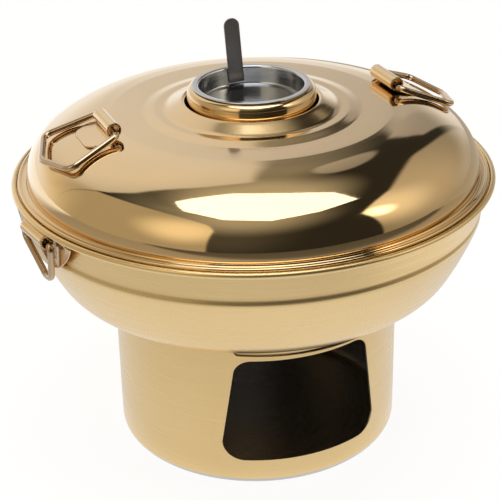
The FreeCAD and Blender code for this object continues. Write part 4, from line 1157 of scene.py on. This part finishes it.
# Each spot has its strength, its centre, how far out its fall begins and ends, and its stretch.
FAR_LEFT = (0.34, (-80, -44), 4, 42)
ceiling = lit((1.0, 0.92, 0.74), 0.03, (0.42, (-4, 20), 6, 42), (0.50, (2, -16), 8, 26),
              (0.05, (-15, 62), 4, 50), (0.10, (-24, -8), 4, 20), (0.26, (2, -48), 2, 13, 0.5))
left_wall = lit((1.0, 0.85, 0.59), 0.46, (0.62, (-34, 42), 5, 34), FAR_LEFT)
right_wall = lit((1.0, 0.88, 0.68), 0.30, (0.25, (50, -10), 20, 62), (0.50, (48, 8), 6, 40),
                 (2.2, (50, 14), 2, 12))
back_wall = lit((1.0, 0.94, 0.87), 0.42, (0.40, (-22, -50), 14, 50))
back_left = lit((1.0, 0.85, 0.60), 0.46, (0.20, (-46, -50), 6, 24), FAR_LEFT)
back_wall = room.mix(room.spread(chart_x, -58.0, -34.0), back_left, back_wall)
print("with walls:", len(room.tree.nodes), "nodes")

# %% Layers of the room
# The white backdrop stands low behind the pot and fades on its right.
BACKDROP = (1.05, 1.03, 1.0)
behind = room.spread(chart_y, -65.0, -25.0, 0.85, 0.0)
backdrop = room.times(room.spread(from_zenith, 70.0, 86.0), behind)
backdrop = room.times(backdrop, room.spread(chart_x, 20.0, 55.0, 1.0, 0.25))
layers = ((left_panel, left_wall), (room.most(back_panel, far_back), back_wall),
          (room.times(far_right, 0.8), back_wall), (room.times(leaf, 0.55), back_wall),
          (right_panel, right_wall), (backdrop, BACKDROP))
colour = ceiling
for share, shade in layers:
    colour = room.mix(share, colour, shade)

seen = room.node("LightPath", {}, "Is Camera Ray")
studio = room.node("Background", {"Color": colour})
white = room.node("Background", {"Color": (1, 1, 1, 1)})
room.end("World", room.node("MixShader", {0: seen, 1: studio, 2: white}))
print("room:", len(layers), "layers over the ceiling")

# %% [markdown]
# ## The floor
#
# The pot stands on white paper. The camera sees it white, with the pot's shadow, so most of its
# light is its own, for camera rays only. The metal sees another light in it: bright behind and at
# the left, where the paper is lit, and dim towards the camera.

# %% Floor
FLOOR_HALF = 4.0
FLOOR_HEIGHT = -0.0001
PAPER = (0.20, 0.20, 0.20, 1.0)
CAMERA_LIGHT = 0.90
WHITE = (1.0, 1.0, 1.0)
WARM = (1.0, 0.86, 0.64)

square = ((-1, -1), (1, -1), (1, 1), (-1, 1))
floor = card("floor", [(x * FLOOR_HALF, y * FLOOR_HALF) for x, y in square], FLOOR_HEIGHT)
paper = Finish("white_paper", WHITE, 1.0)
paper.set("Metallic", 0.0)
paper.set("Specular IOR Level", 0.0)
paper.set("Base Color", PAPER)
paper.give(floor)

# %% Light of the paper as the metal sees it
# Distances are in metres from the pot's axis, or along x to the right and y to the back.
x, y, z, r = paper.parts()
near = paper.plus(paper.spread(r, 0.10, 0.50, 0.26, 0.0), paper.spread(r, 0.45, 0.80, 0.46, 0.28))
dark_front = paper.spread(paper.plus(y, paper.times(x, -0.55)), -0.95, -0.55, 0.06, 1.0)
near = paper.times(near, dark_front)
near = paper.plus(near, paper.spread(r, 0.095, 0.115, 0.10, 0.0))
back_left = paper.times(paper.spread(y, 0.0, 0.60), paper.spread(x, 0.02, 0.25, 1.0, 0.0))
back_any = paper.spread(y, 0.10, 0.45, 0.0, 0.34)
beside = paper.times(paper.spread(x, 0.22, 0.34), paper.spread(r, 0.50, 0.62, 0.80, 0.0))
mirrored = paper.most(paper.most(near, paper.most(back_left, back_any)), beside)
seen = paper.node("LightPath", {}, "Is Camera Ray")
mirrored = paper.times(paper.math("SUBTRACT", 1.0, seen), mirrored)
paper.set("Emission Strength", paper.plus(paper.times(seen, CAMERA_LIGHT), mirrored))
cold = paper.most(seen, back_left)
warm = paper.times(paper.spread(r, 0.45, 0.75), paper.math("SUBTRACT", 1.0, cold))
paper.set("Emission Color", paper.mix(warm, WHITE, WARM))
print("paper:", len(paper.tree.nodes), "nodes")

# %% [markdown]
# ## The camera
#
# The photo was taken from in front and above with a long lens. Its place, its lens and its small
# roll come from the ellipses of the rims, the flanges and the base. The angles give its axes: one
# ahead, one level to the side, one up, and the roll turns the last two.

# %% Camera
CAMERA_PLACE = (0.0, -0.8232, 0.5261)
PITCH, YAW, CAMERA_ROLL = (math.radians(v) for v in (26.269, -0.208, -1.218))
SENSOR = 36.0
FOCAL_LENGTH = 102.564

flat = np.array([math.sin(YAW), math.cos(YAW), 0.0])
ahead = flat * math.cos(PITCH) - np.array([0.0, 0.0, math.sin(PITCH)])
level = np.array([math.cos(YAW), -math.sin(YAW), 0.0])
up = np.cross(level, ahead)
matrix = np.eye(4)
matrix[:3, 0] = math.cos(CAMERA_ROLL) * level + math.sin(CAMERA_ROLL) * up
matrix[:3, 1] = -math.sin(CAMERA_ROLL) * level + math.cos(CAMERA_ROLL) * up
matrix[:3, 2] = -ahead
matrix[:3, 3] = CAMERA_PLACE
lens = bpy.data.cameras.new("camera")
lens.sensor_width = SENSOR
lens.lens = FOCAL_LENGTH
camera = in_scene("camera", lens)
camera.matrix_world = Matrix(matrix.tolist())
bpy.context.scene.camera = camera
bpy.context.scene.view_settings.view_transform = "Standard"
print("camera:", round(float(np.hypot(*CAMERA_PLACE[1:])), 3), "m from the pot's foot")

# %% Boxes and finish
low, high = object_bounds()
boxes = {"cad": [list(cad_low), list(cad_high)], "visual": [list(low), list(high)]}
apart = np.abs(np.array(boxes["cad"]) - np.array(boxes["visual"])).max()
print("largest difference", round(float(apart) / MM, 2), "mm")
